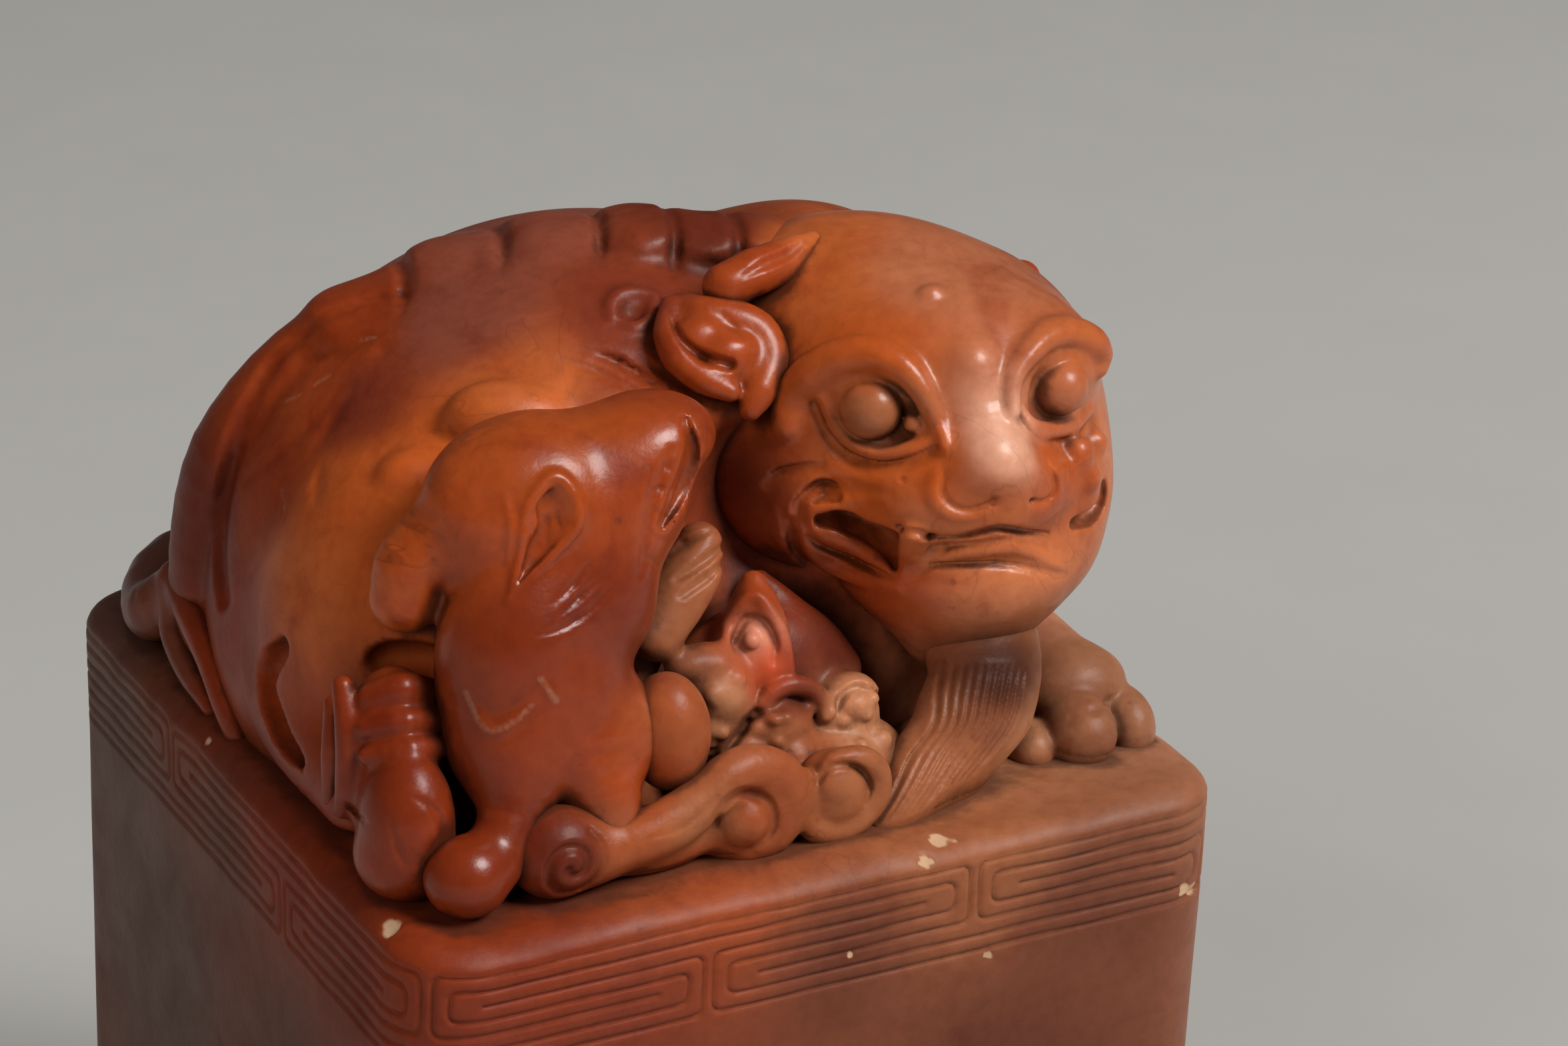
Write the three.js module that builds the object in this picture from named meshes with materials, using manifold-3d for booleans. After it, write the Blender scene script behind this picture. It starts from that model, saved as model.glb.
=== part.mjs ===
// Soapstone seal with a carved knob: a mother beast curled on top of a square block,
// her cub standing against her flank and a second cub looking out of the hollow under
// her chin. Millimetres, +Z up, origin at the centre of the printing face.
import * as THREE from 'three';
import { mergeVertices } from 'three/addons/utils/BufferGeometryUtils.js';
import Module from 'manifold-3d';

const wasm = await Module();
wasm.setup();

// Driving dimensions of the block.
const BLOCK_SIDE = 40;
const BLOCK_HEIGHT = 47;
const CORNER_RADIUS = 3.5;
const RIM_IN = 1.6;
const RIM_DOWN = 1.1;
const FOOT_ROUNDING = 0.5;
const ARC_STEPS = 4;

// Fret band round the top of the block.
const FRET_TOP = 1.1;
const FRET_HEIGHT = 4.3;
const FRET_UNITS = 3;
const FRET_GAP = 0.7;
const FRET_PITCH_ACROSS = 0.85;
const GROOVE_WIDTH = 0.35;
const GROOVE_DEPTH = 0.35;

// Printing face: a raised border and a plain meander in relief.
const FACE_RELIEF = 0.8;
const FACE_BORDER = 1.6;
const FACE_EDGE = 1.4;
const BAR_WIDTH = 1.5;
const BAR_GAP = 1.7;

// Crease that the carver leaves between two neighbouring members.
const SEAM = 0.3;

// The knob is laid out from the middle of the block's top, for a block of this side. On
// another block it grows or shrinks with the side.
const KNOB_LAYOUT_SIDE = 40;
const SPREAD = BLOCK_SIDE / KNOB_LAYOUT_SIDE;

// Facets of the round forms.
const FINE = [18, 11];
const PLAIN = [12, 7];
const SMALL = [8, 5];

const deg = THREE.MathUtils.degToRad;
const vec = (p) => new THREE.Vector3(p[0], p[1], p[2]);
const turned = (turn) => new THREE.Euler(deg(turn[0]), deg(turn[1]), deg(turn[2]), 'ZYX');

function solidOf(geometry) {
  const bare = geometry.index ? geometry.toNonIndexed() : geometry.clone();
  bare.deleteAttribute('normal');
  bare.deleteAttribute('uv');
  const merged = mergeVertices(bare, 1e-4);
  return new wasm.Manifold(new wasm.Mesh({
    numProp: 3,
    vertProperties: new Float32Array(merged.attributes.position.array),
    triVerts: new Uint32Array(merged.index.array),
  }));
}

function geometryOf(solid) {
  const mesh = solid.getMesh();
  const geometry = new THREE.BufferGeometry();
  geometry.setAttribute('position', new THREE.BufferAttribute(new Float32Array(mesh.vertProperties), 3));
  geometry.setIndex(new THREE.BufferAttribute(new Uint32Array(mesh.triVerts), 1));
  return geometry;
}

function join(solids) {
  return solids.reduce((sum, solid) => sum.add(solid));
}

function cut(solid, cutters) {
  return cutters.reduce((rest, cutter) => rest.subtract(cutter), solid);
}

// Closed skin over rings of equally many points, with a point at each end.
function skin(rings, first, last) {
  const count = rings[0].length;
  const points = [first, ...rings.flat(), last];
  const index = [];
  const at = (ring, k) => 1 + ring * count + (k % count);
  const end = points.length - 1;
  for (let k = 0; k < count; k += 1) {
    index.push(0, at(0, k + 1), at(0, k));
    index.push(end, at(rings.length - 1, k), at(rings.length - 1, k + 1));
    for (let ring = 0; ring + 1 < rings.length; ring += 1) {
      index.push(at(ring, k), at(ring, k + 1), at(ring + 1, k + 1));
      index.push(at(ring, k), at(ring + 1, k + 1), at(ring + 1, k));
    }
  }
  const geometry = new THREE.BufferGeometry();
  geometry.setAttribute('position', new THREE.Float32BufferAttribute(points.flatMap((p) => p.toArray()), 3));
  geometry.setIndex(index);
  return geometry;
}

// A rounded mass: centre, half sizes, turn about x, y and z in degrees.
function mass(centre, half, turn = [0, 0, 0], facets = PLAIN) {
  return (grow) => {
    const geometry = new THREE.SphereGeometry(1, facets[0], facets[1]).rotateX(Math.PI / 2);
    const matrix = new THREE.Matrix4().compose(
      vec(centre).multiplyScalar(SPREAD),
      new THREE.Quaternion().setFromEuler(turned(turn)),
      vec(half).multiplyScalar(SPREAD).addScalar(grow),
    );
    return solidOf(geometry.applyMatrix4(matrix));
  };
}

// A limb swept along a smooth curve. Widths are half sizes across the face direction and
// depths are half sizes along it. Both ends are rounded.
function limb(points, widths, depths = widths, face = [0, 0, 1], steps = 8, sides = 8) {
  return (grow) => {
    const curve = new THREE.CatmullRomCurve3(points.map((point) => vec(point).multiplyScalar(SPREAD)), false,
      'centripetal');
    const value = (list, t) => {
      const place = t * (list.length - 1);
      const before = Math.min(Math.floor(place), list.length - 2);
      return THREE.MathUtils.lerp(list[before], list[before + 1], place - before) * SPREAD;
    };
    const ring = (t, along, size) => {
      const tangent = curve.getTangent(t);
      const across = new THREE.Vector3().crossVectors(tangent, vec(face)).normalize();
      const out = new THREE.Vector3().crossVectors(tangent, across);
      const wide = (value(widths, t) + grow) * size;
      const deep = (value(depths, t) + grow) * size;
      const middle = curve.getPoint(t).addScaledVector(tangent, along * (Math.min(value(widths, t),
        value(depths, t)) + grow));
      return Array.from({ length: sides }, (_, k) => {
        const angle = (2 * Math.PI * k) / sides;
        return middle.clone()
          .addScaledVector(across, Math.cos(angle) * wide)
          .addScaledVector(out, Math.sin(angle) * deep);
      });
    };
    const tip = (t, along) => curve.getPoint(t).addScaledVector(curve.getTangent(t),
      along * (Math.min(value(widths, t), value(depths, t)) + grow));
    const rings = [ring(0, -0.7, 0.7)];
    for (let step = 0; step <= steps; step += 1) {
      rings.push(ring(step / steps, 0, 1));
    }
    rings.push(ring(1, 0.7, 0.7));
    return solidOf(skin(rings, tip(0, -1), tip(1, 1)));
  };
}

// A cloud scroll: a shallow boss with a spiral ridge on its face.
function scroll(centre, radius, turn, turns = 1.6, hand = 1) {
  const thick = radius * 0.2;
  const facing = new THREE.Quaternion().setFromEuler(turned(turn));
  const place = (x, y, z) => new THREE.Vector3(x, y, z).applyQuaternion(facing).add(vec(centre)).toArray();
  const count = Math.round(turns * 6);
  const spiral = Array.from({ length: count + 1 }, (_, k) => {
    const share = k / count;
    const reach = THREE.MathUtils.lerp(radius * 0.14, radius - thick, share);
    const angle = 2 * Math.PI * turns * share * hand;
    return place(reach * Math.cos(angle), reach * Math.sin(angle), radius * 0.42 * (1 - 0.35 * share));
  });
  const normal = new THREE.Vector3(0, 0, 1).applyQuaternion(facing).toArray();
  return form([
    mass(centre, [radius, radius, radius * 0.55], turn, [10, 6]),
    limb(spiral, [thick * 0.8, thick], [thick * 0.8, thick], normal, count, 5),
  ]);
}

// One member of the carving: masses and limbs joined, hollows taken out, and what stands
// in the hollows set back in. A grown copy of a member is what its neighbours are cut
// with, so the crease keeps its width.
function form(parts, hollows = [], inlays = []) {
  return (grow) => {
    const body = cut(join(parts.map((part) => part(grow))), hollows.map((hollow) => hollow(-grow)));
    return join([body, ...inlays.map((inlay) => inlay(grow))]);
  };
}

// Rounded square outline at one height.
function squareRing(half, radius, z) {
  const ring = [];
  for (let corner = 0; corner < 4; corner += 1) {
    for (let step = 0; step <= ARC_STEPS; step += 1) {
      const angle = (Math.PI / 2) * (corner + step / ARC_STEPS);
      const turn = (Math.PI / 2) * (corner + 0.5);
      const centre = (half - radius) * Math.SQRT2;
      ring.push(new THREE.Vector3(
        Math.cos(turn) * centre + Math.cos(angle) * radius,
        Math.sin(turn) * centre + Math.sin(angle) * radius,
        z,
      ));
    }
  }
  return ring;
}

function blockBody() {
  const half = BLOCK_SIDE / 2;
  const rings = [];
  const rounded = (inward, rise, z, up) => {
    for (let step = 0; step <= ARC_STEPS; step += 1) {
      const angle = (Math.PI / 2) * (step / ARC_STEPS);
      const turn = up ? Math.PI / 2 - angle : angle;
      const inset = inward * (1 - Math.sin(turn));
      const shift = rise * Math.cos(turn);
      rings.push(squareRing(half - inset, CORNER_RADIUS - inset * 0.5, up ? z + shift : z - shift));
    }
  };
  rounded(FOOT_ROUNDING, FOOT_ROUNDING, FOOT_ROUNDING, false);
  rounded(RIM_IN, RIM_DOWN, BLOCK_HEIGHT - RIM_DOWN, true);
  return solidOf(skin(rings, new THREE.Vector3(0, 0, 0), new THREE.Vector3(0, 0, BLOCK_HEIGHT)));
}

function box(x0, x1, y0, y1, z0, z1) {
  const geometry = new THREE.BoxGeometry(x1 - x0, y1 - y0, z1 - z0);
  geometry.translate((x0 + x1) / 2, (y0 + y1) / 2, (z0 + z1) / 2);
  return geometry;
}

// Fret on one side: each unit is two nested hooks round a centre line, and every
// second hook opens the other way.
function fretCutters() {
  const flat = BLOCK_SIDE - 2 * CORNER_RADIUS;
  const pitch = flat / FRET_UNITS;
  const half = BLOCK_SIDE / 2;
  const top = BLOCK_HEIGHT - FRET_TOP;
  const bottom = top - FRET_HEIGHT;
  const cutters = [];
  const groove = (x0, x1, z0, z1) => box(x0, x1, -half - GROOVE_DEPTH, -half + GROOVE_DEPTH, z0, z1);
  for (let unit = 0; unit < FRET_UNITS; unit += 1) {
    const x0 = -flat / 2 + unit * pitch + FRET_GAP / 2;
    const x1 = x0 + pitch - FRET_GAP;
    const bars = [];
    for (let nest = 0; nest < 2; nest += 1) {
      const inset = nest * FRET_PITCH_ACROSS;
      const open = inset + (nest === 0 ? 0 : FRET_PITCH_ACROSS);
      bars.push(groove(x0 + inset, x1 - open, top - inset - GROOVE_WIDTH, top - inset));
      bars.push(groove(x0 + inset, x1 - open, bottom + inset, bottom + inset + GROOVE_WIDTH));
      const upright = nest === 0 ? x0 : x1 - open - GROOVE_WIDTH;
      bars.push(groove(upright, upright + GROOVE_WIDTH, bottom + inset, top - inset));
    }
    const middle = (top + bottom) / 2;
    bars.push(groove(x0 + 2 * FRET_PITCH_ACROSS, x1 - 3 * FRET_PITCH_ACROSS, middle - GROOVE_WIDTH / 2,
      middle + GROOVE_WIDTH / 2));
    cutters.push(...bars);
  }
  return cutters;
}

// Printing face: the field is sunk by the relief, and a border and four meanders stand
// proud of it round a cross.
function faceCutter() {
  const half = BLOCK_SIDE / 2 - FACE_EDGE;
  const field = half - FACE_BORDER;
  const sunk = solidOf(box(-field, field, -field, field, -FACE_RELIEF, FACE_RELIEF));
  const bar = (x0, x1, y0, y1) => solidOf(box(Math.min(x0, x1), Math.max(x0, x1), Math.min(y0, y1), Math.max(y0, y1),
    -2 * FACE_RELIEF, 2 * FACE_RELIEF));
  const reach = field - BAR_GAP;
  const step = BAR_WIDTH + BAR_GAP;
  const bars = [bar(-BAR_WIDTH / 2, BAR_WIDTH / 2, -field, field), bar(-field, field, -BAR_WIDTH / 2, BAR_WIDTH / 2)];
  for (const sx of [-1, 1]) {
    for (const sy of [-1, 1]) {
      const near = BAR_WIDTH / 2 + BAR_GAP;
      bars.push(bar(sx * near, sx * (near + BAR_WIDTH), 0, sy * reach));
      bars.push(bar(sx * near, sx * reach, sy * (reach - BAR_WIDTH), sy * reach));
      bars.push(bar(sx * (reach - BAR_WIDTH), sx * reach, sy * near, sy * reach));
      bars.push(bar(sx * (near + step), sx * reach, sy * near, sy * (near + BAR_WIDTH)));
      bars.push(bar(sx * (near + step), sx * (near + step + BAR_WIDTH), sy * near, sy * (reach - step)));
    }
  }
  return sunk.subtract(join(bars));
}

function sealBlock() {
  const fret = fretCutters();
  const cutters = [];
  for (let side = 0; side < 4; side += 1) {
    for (const bar of fret) {
      cutters.push(solidOf(bar.clone().rotateZ((Math.PI / 2) * side)));
    }
  }
  return blockBody().subtract(join(cutters)).subtract(faceCutter());
}

// The mother's trunk: one domed mass, hollowed at the front under her chin and beside her head.
const trunk = form(
  [mass([-1.6, 2.6, 4.4], [17.2, 15.6, 17], [0, 6, 0], FINE)],
  [mass([1.5, -13.5, 4], [7.5, 5.2, 7], [0, 0, 0], SMALL), mass([0.8, -12.6, 12.6], [4.6, 5.6, 6], [0, 0, 0], SMALL)],
);

// Shoulder on the right, with the neck that carries the head.
const shoulder = form([
  mass([10, 3, 6], [8.6, 12.2, 13.8], [0, 0, 0], FINE),
  mass([8.2, 1.4, 15.2], [7.4, 6.8, 6.2], [0, 0, 0], PLAIN),
]);

// Thigh over the left edge, running down to the hind foot.
const haunch = form([
  mass([-11.2, -3.6, 6.2], [7.9, 8.8, 9.6], [0, 0, 8], PLAIN),
  limb([[-15, 3, 3], [-16.4, -4, 2.6], [-16.8, -9, 2.4]], [3.2, 2.8, 2.4], [3.2, 2.8, 2.4], [0, 0, 1], 6, 10),
]);

// Hind foot: the paw and two rolled folds over it.
const hindFoot = form([
  mass([-17.5, -13.8, 3], [2, 2.3, 3.2], [0, 0, 0], PLAIN),
  mass([-17, -12.9, 6.7], [2.2, 1.8, 1.2], [0, 8, 0], SMALL),
  mass([-17, -12.3, 8.3], [1.7, 1.6, 1], [0, 8, 0], SMALL),
]);

// Ridge of the spine with its row of bones, from the tail root to the neck.
const SPINE = [
  [-17.4, 8.5, 1.5], [-17.7, 8.6, 6], [-16.7, 8.2, 11], [-13.7, 7, 15.4], [-9.2, 5.2, 18.6], [-3.8, 3, 20.6],
  [1.3, 1, 21], [6, -1, 20.6],
];
const BONES = [
  [-11.4, 6, 17.4], [-7.4, 4.6, 19.6], [-3.4, 2.8, 20.9], [0.3, 1.3, 21.4], [2.7, -0.3, 21.2], [5.2, -1.2, 21.2],
];
const spine = form([
  limb(SPINE, [1.8, 1.9, 2.1, 2.1, 2, 1.8, 1.5, 1.3], [1.1, 1.2, 1.3, 1.2, 1.1, 1, 0.9, 0.8], [-0.4, 0, 1], 12, 7),
  ...BONES.map((place) => mass(place, [1.7, 2.1, 0.85], [0, 0, -20], SMALL)),
]);

// Tail: it lies along the back edge, turns the corner and loops forward along the left side.
const tail = form([
  limb([[-17.9, 10.5, 3.6], [-18.1, 12.5, 1.8], [-15.5, 16.3, 1.7], [-8, 17.8, 1.9], [0, 18, 2], [6, 17.6, 3.2]],
    [1.2, 1.5, 1.9, 2, 1.8, 1.3], [1.2, 1.5, 1.9, 2, 1.8, 1.3], [0, 0, 1], 12, 8),
  limb([[-17.8, 10.2, 4.1], [-18.2, 7.4, 3.5], [-18.3, 4.8, 2.6], [-18.3, 3.2, 1.2]], [1, 0.85, 0.8, 0.75],
    [1, 0.85, 0.8, 0.75], [0, 0, 1], 5, 6),
]);

// The head looks out over the front left. Its parts are given in its own frame: x to its
// left as seen from the front, y out of the face, z up.
const HEAD = { centre: [10.5, -7, 13.6], yaw: 17 };
function onHead(place) {
  const out = new THREE.Vector3(-Math.sin(deg(HEAD.yaw)), -Math.cos(deg(HEAD.yaw)), 0);
  const across = new THREE.Vector3(Math.cos(deg(HEAD.yaw)), -Math.sin(deg(HEAD.yaw)), 0);
  return vec(HEAD.centre).addScaledVector(across, place[0]).addScaledVector(out, place[1])
    .add(new THREE.Vector3(0, 0, place[2])).toArray();
}
function headMass(place, half, facets = SMALL) {
  return mass(onHead(place), half, [0, 0, -HEAD.yaw], facets);
}
function headLimb(points, widths, depths, steps = 6, sides = 6) {
  const face = vec(onHead([0, 1, 0])).sub(vec(HEAD.centre)).toArray();
  return limb(points.map(onHead), widths, depths, face, steps, sides);
}

// Masses of the skull: crown, left crown, left cheek, brow, muzzle, chin and right jaw.
const SKULL = [
  [[-0.2, -0.8, 1.1], [8.2, 8.3, 8], FINE],
  [[-3.4, -2.6, 5.5], [5.4, 5.2, 3.8], PLAIN],
  [[-6.9, -1.2, -0.4], [4.7, 5.8, 6], PLAIN],
  [[0, 2.9, 4.2], [6.9, 4.3, 3.4], PLAIN],
  [[0.3, 4.9, -0.2], [5.2, 4.5, 3.2], PLAIN],
  [[0.9, 3.8, -4.2], [5.8, 4.8, 3.5], PLAIN],
  [[4.9, 1, -1.8], [3.3, 5.6, 4.9], PLAIN],
];

// A place on the face from its height and its distance across: as far out as the skull
// reaches there, and a lift.
function onFace(across, up, lift = 0) {
  const reaches = SKULL.map(([centre, half]) => {
    const rest = 1 - ((across - centre[0]) / half[0]) ** 2 - ((up - centre[2]) / half[2]) ** 2;
    return rest > 0 ? centre[1] + half[1] * Math.sqrt(rest) : -Infinity;
  });
  return [across, Math.max(...reaches) + lift, up];
}
function faceLine(places, lift = 0) {
  return places.map(([across, up]) => onFace(across, up, lift));
}

const EYES = [
  { across: -3.9, up: 3.7, radius: 1.2, socket: [1.7, 1, 1.6] },
  { across: 4.5, up: 4.1, radius: 1.1, socket: [1.6, 1, 1.5] },
];
const EYE_SUNK = 0.6;
const BROWS = [
  faceLine([[-7.3, 2.3], [-6.3, 4.6], [-3.9, 5.85], [-2, 4.6], [-1.2, 2.5]]),
  faceLine([[1.75, 3.7], [2.7, 5.9], [5.2, 6], [6.3, 4.9]]),
];
const GAPE = faceLine([[-5.9, -1.3], [-4.4, -1.85], [-3, -2.5]], -0.1);
const SLIT = faceLine([[-1.7, -1.4], [-0.2, -1.55], [0.7, -1.25], [2.7, -1.7], [3.9, -2.3]]);
const RIGHT_GAPE = faceLine([[5.4, -2.1], [6.6, -1.8]]);
const LOWER_LIP = faceLine([[-1.2, -2.85], [0.6, -2.15], [2.8, -2.65], [4.8, -3.9]], -0.25);
const FANG = faceLine([[-2.2, -1.2], [-2.2, -2.6], [-2.55, -3.7]], -0.2);
const head = form([
  ...SKULL.map(([centre, half, facets]) => headMass(centre, half, facets)),
  headLimb([[0.9, 4.4, -5], [0.7, 5.2, -7.4]], [3.1, 3.25], [2.2, 2], 2, 8),
  headMass([0.85, 6.7, 1.2], [3.15, 2.6, 1.85]),
  headMass([0.9, 7.4, 1.9], [1.7, 2.4, 1.6]),
  ...BROWS.map((line) => headLimb(line, [0.6, 0.85, 0.8, 0.5], [0.6, 0.8, 0.8, 0.5], 8)),
  headLimb(LOWER_LIP, [0.3, 0.5, 0.48, 0.3], [0.5, 0.6, 0.55, 0.4]),
], [
  ...EYES.map((eye) => headMass(onFace(eye.across, eye.up, 0.2), eye.socket)),
  headLimb(GAPE, [0.4, 0.55, 0.75], [1.3, 1.7, 1.6], 4),
  headLimb(SLIT, [0.3, 0.35, 0.4, 0.3, 0.2], [0.7, 0.8, 0.8, 0.7, 0.5], 6, 5),
  headLimb(RIGHT_GAPE, [0.4, 0.5], [0.8, 0.9], 2),
], [
  ...EYES.map((eye) => headMass(onFace(eye.across, eye.up, -EYE_SUNK), [eye.radius, eye.radius, eye.radius])),
  headLimb(FANG, [0.78, 0.62, 0.25], [0.6, 0.55, 0.25], 3),
]);

// Ears and curls of the mane, behind the brow on the left and over the crown. The left ear
// is a tongue that hooks down, with a thin rim swept round its lower side.
const leftEar = form([
  limb([[-0.4, -4.6, 19.8], [1, -5.7, 19.7], [2.1, -6.9, 18.9], [1.9, -8.2, 17.4], [1.1, -9, 16.3]],
    [0.8, 1.3, 1.5, 1.15, 0.5], [1, 1.5, 1.6, 1.2, 0.6], [-0.7, -0.6, 0.4], 8, 8),
  limb([[-1.1, -4.4, 20], [-1.8, -5.7, 19.3], [-1.7, -7, 18.4], [-0.9, -8, 17.7], [0.4, -8.6, 17.2]],
    [0.45, 0.5, 0.55, 0.5, 0.4], [0.45, 0.5, 0.55, 0.5, 0.4], [0, 0, 1], 7, 6),
  limb([[-1.1, -4.4, 20], [-0.4, -4.6, 19.8]], [0.5, 0.7], [0.5, 0.7], [0, 1, 0], 2, 6),
]);
const rightEar = form([headLimb([[6.4, -4, 5.4], [7.1, -3.7, 3.3], [7.2, -2.9, 1.1]], [1, 1.35, 0.9], [1, 1.35, 0.9], 5,
  8)]);
const crestCurl = scroll([-3, -4.2, 19.3], 2.1, [50, 0, -30], 1.4, -1);
const browCurl = form([
  limb([[1, -5.2, 20.9], [2.2, -5.2, 21.5], [3.9, -4.9, 22], [5.6, -4.3, 22.2]], [0.95, 1.05, 0.95, 0.75],
    [1, 1.05, 0.95, 0.75], [-0.7, -0.6, 0.4], 7, 8),
]);
const napeCurl = scroll([5.2, 1, 20.9], 1.8, [8, 0, -10], 1.3, -1);

// Beard: a flat lock from the chin, swept to the left where it meets the block.
const beard = form([
  limb([onHead([0.8, 5, -5.6]), [9.6, -14, 4.2], [8.4, -15.4, 2], [5.4, -16.7, 1.1], [3.5, -17.1, 0.6]],
    [3.1, 3.3, 3.2, 1.8, 0.7], [2, 1.9, 1.6, 0.9, 0.5], [0, -1, 0.2], 9, 10),
]);

// Far foreleg and its paw beside the beard, with the knuckles.
const foreleg = form([
  limb([[13, -4, 4.5], [15, -8, 2.8], [16, -11, 2]], [2.8, 2.3, 2], [2.8, 2.3, 2], [0, 0, 1], 5, 10),
]);
const forepaw = form([
  mass([16.1, -11.9, 1.9], [2.6, 2, 1.9], [0, 0, 0], SMALL),
  mass([15.2, -13.9, 0.8], [1.65, 2.1, 1.75], [0, 0, 0], SMALL),
  mass([17.9, -13.2, 0.3], [1.45, 2.1, 1.8], [0, 0, 0], SMALL),
  mass([13.2, -13.2, 0.2], [1.3, 1.6, 1.3], [0, 0, 0], SMALL),
]);

// The standing cub: head laid against the mother's flank, back to the front corner.
const cubHead = form([
  mass([-10.4, -11, 14.8], [5.2, 3.7, 4.2], [0, 12, 0], PLAIN),
  mass([-5.9, -11.4, 17.3], [3.3, 2.7, 2.1], [0, -5, 0], PLAIN),
  mass([-7, -12, 14.9], [2.8, 2.7, 3.2], [0, 22, 0], PLAIN),
]);
const cubTrunk = form([
  mass([-9.2, -12.8, 11.4], [3.3, 2.9, 3.6], [0, 0, 0], SMALL),
  mass([-12.3, -13, 9.2], [3.5, 3.3, 5.2], [0, 4, 0], PLAIN),
  mass([-10.8, -13.8, 7.2], [3.4, 2.8, 3.7], [0, 0, 0], PLAIN),
  mass([-8.6, -14.7, 5.8], [2.4, 2, 2.4], [0, 0, 0], SMALL),
]);
const cubArm = form([
  limb([[-13.6, -10.6, 14.3], [-15.5, -10.2, 13.1], [-16, -10.1, 11.5]], [2, 1.65, 1.5], [2, 1.65, 1.5], [0, -1, 0],
    4, 8),
]);
const cubLeftLeg = form([
  limb([[-12.6, -14.2, 5.4], [-13.8, -15.5, 3.7], [-15, -16.4, 2]], [2.1, 1.4, 1.3], [2.1, 1.4, 1.3], [0, -1, 0],
    4, 8),
  mass([-16.1, -16.7, 1.7], [1.85, 1.7, 1.75], [0, 0, 0], SMALL),
]);
const cubRightLeg = form([
  limb([[-9.8, -14.4, 5.4], [-9.5, -15.6, 3.6], [-9.2, -16.3, 2.4]], [2.2, 1.7, 1.2], [2.2, 1.6, 1.2], [0, -1, 0],
    4, 8),
]);
const cubKnee = form([mass([-6.3, -15.3, 5.7], [1.8, 1.9, 2.65], [0, -4, 0], PLAIN)]);

// Cloud band at the foot of the cubs: a swirl, a ribbon and two scrolls.
const swirl = scroll([-11.9, -16.8, 2.2], 2.2, [80, 0, -12], 1.6, 1);
const ribbon = form([
  limb([[-9.6, -17, 1.9], [-7.6, -17.1, 2.3], [-5.6, -17.1, 3], [-4.3, -17, 3.8], [-3, -16.9, 4.1],
    [-1.8, -16.9, 3.4]], [0.9, 1.1, 1.1, 1, 0.9, 0.8], [0.9, 1, 1, 0.95, 0.9, 0.8], [0, -1, 0.3], 8, 8),
  mass([-7.4, -16, 1.2], [3, 1.4, 1.3], [0, 0, 0], SMALL),
]);
const frontScroll = scroll([-3.1, -16.7, 1.8], 1.8, [80, 0, -12], 1.5, -1);
const beardScroll = scroll([1.3, -16.6, 1.8], 1.9, [80, 0, -12], 1.5, -1);

// The second small beast: nose, brow and curled rocks on the wall of the hollow under the
// mother's chin, and its combed ear above.
const hollowCub = form([
  mass([0.4, -10.9, 4.6], [4.6, 2.6, 5], [0, 0, 0], PLAIN),
  mass([1.5, -13.2, 1.2], [5.2, 3, 2.2], [0, 0, 0], PLAIN),
  mass([-0.2, -12.4, 6.9], [1.3, 1.3, 1.5], [0, 0, 0], SMALL),
  mass([0.9, -13, 3.7], [1.6, 1.5, 1.3], [0, 0, 0], SMALL),
  mass([-2.6, -12.8, 4.6], [1.4, 1.5, 2], [0, 0, 0], SMALL),
  mass([4.2, -12.6, 3.5], [1.9, 1.7, 1.7], [0, 0, 0], SMALL),
]);
const hollowEar = form([
  limb([[-3.4, -9.4, 12.3], [-3.2, -10.3, 10.8], [-4, -10.9, 9]], [1.4, 1.7, 1.2], [1, 1.2, 1], [-0.7, -0.7, 0.2],
    5, 8),
]);

// Colours of the stone, which runs from red brown to pale pink.
const STONE = {
  block: 0x9c5240,
  back: 0x8a3a24,
  flank: 0xb5562f,
  face: 0xc8785a,
  cub: 0xa8472a,
  cloud: 0xc08262,
};

function stone(colour) {
  return new THREE.MeshStandardMaterial({ color: colour, roughness: 0.28, metalness: 0 });
}

// Carving order: a member is cut by the ones before it, each grown by the crease.
const MEMBERS = [
  ['tail', tail, STONE.flank],
  ['spine_ridge', spine, STONE.back],
  ['trunk', trunk, STONE.back],
  ['shoulder', shoulder, STONE.back],
  ['head', head, STONE.face],
  ['haunch', haunch, STONE.flank],
  ['left_ear', leftEar, STONE.face],
  ['right_ear', rightEar, STONE.face],
  ['crest_curl', crestCurl, STONE.back],
  ['brow_curl', browCurl, STONE.flank],
  ['nape_curl', napeCurl, STONE.back],
  ['beard', beard, STONE.cloud],
  ['foreleg', foreleg, STONE.flank],
  ['forepaw', forepaw, STONE.cloud],
  ['cub_head', cubHead, STONE.cub],
  ['cub_trunk', cubTrunk, STONE.cub],
  ['cub_arm', cubArm, STONE.cub],
  ['cub_left_leg', cubLeftLeg, STONE.cub],
  ['cub_right_leg', cubRightLeg, STONE.cub],
  ['cub_knee', cubKnee, STONE.cloud],
  ['hind_foot', hindFoot, STONE.flank],
  ['swirl', swirl, STONE.cub],
  ['ribbon', ribbon, STONE.cloud],
  ['front_scroll', frontScroll, STONE.cloud],
  ['beard_scroll', beardScroll, STONE.cloud],
  ['hollow_cub', hollowCub, STONE.cloud],
  ['hollow_ear', hollowEar, STONE.cloud],
];

const seal = new THREE.Group();
const block = new THREE.Mesh(geometryOf(sealBlock()), stone(STONE.block));
block.name = 'seal_block';
seal.add(block);

const knob = new THREE.Group();
knob.position.z = BLOCK_HEIGHT;
seal.add(knob);

// Everything below the top of the block, less the crease, is taken off each member.
const ground = solidOf(box(-BLOCK_SIDE, BLOCK_SIDE, -BLOCK_SIDE, BLOCK_SIDE, -BLOCK_HEIGHT, SEAM));
const earlier = [];
for (const [name, member, colour] of MEMBERS) {
  const solid = cut(member(0), [ground, ...earlier]);
  earlier.push(member(SEAM));
  const mesh = new THREE.Mesh(geometryOf(solid), stone(colour));
  mesh.name = name;
  knob.add(mesh);
}

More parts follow.
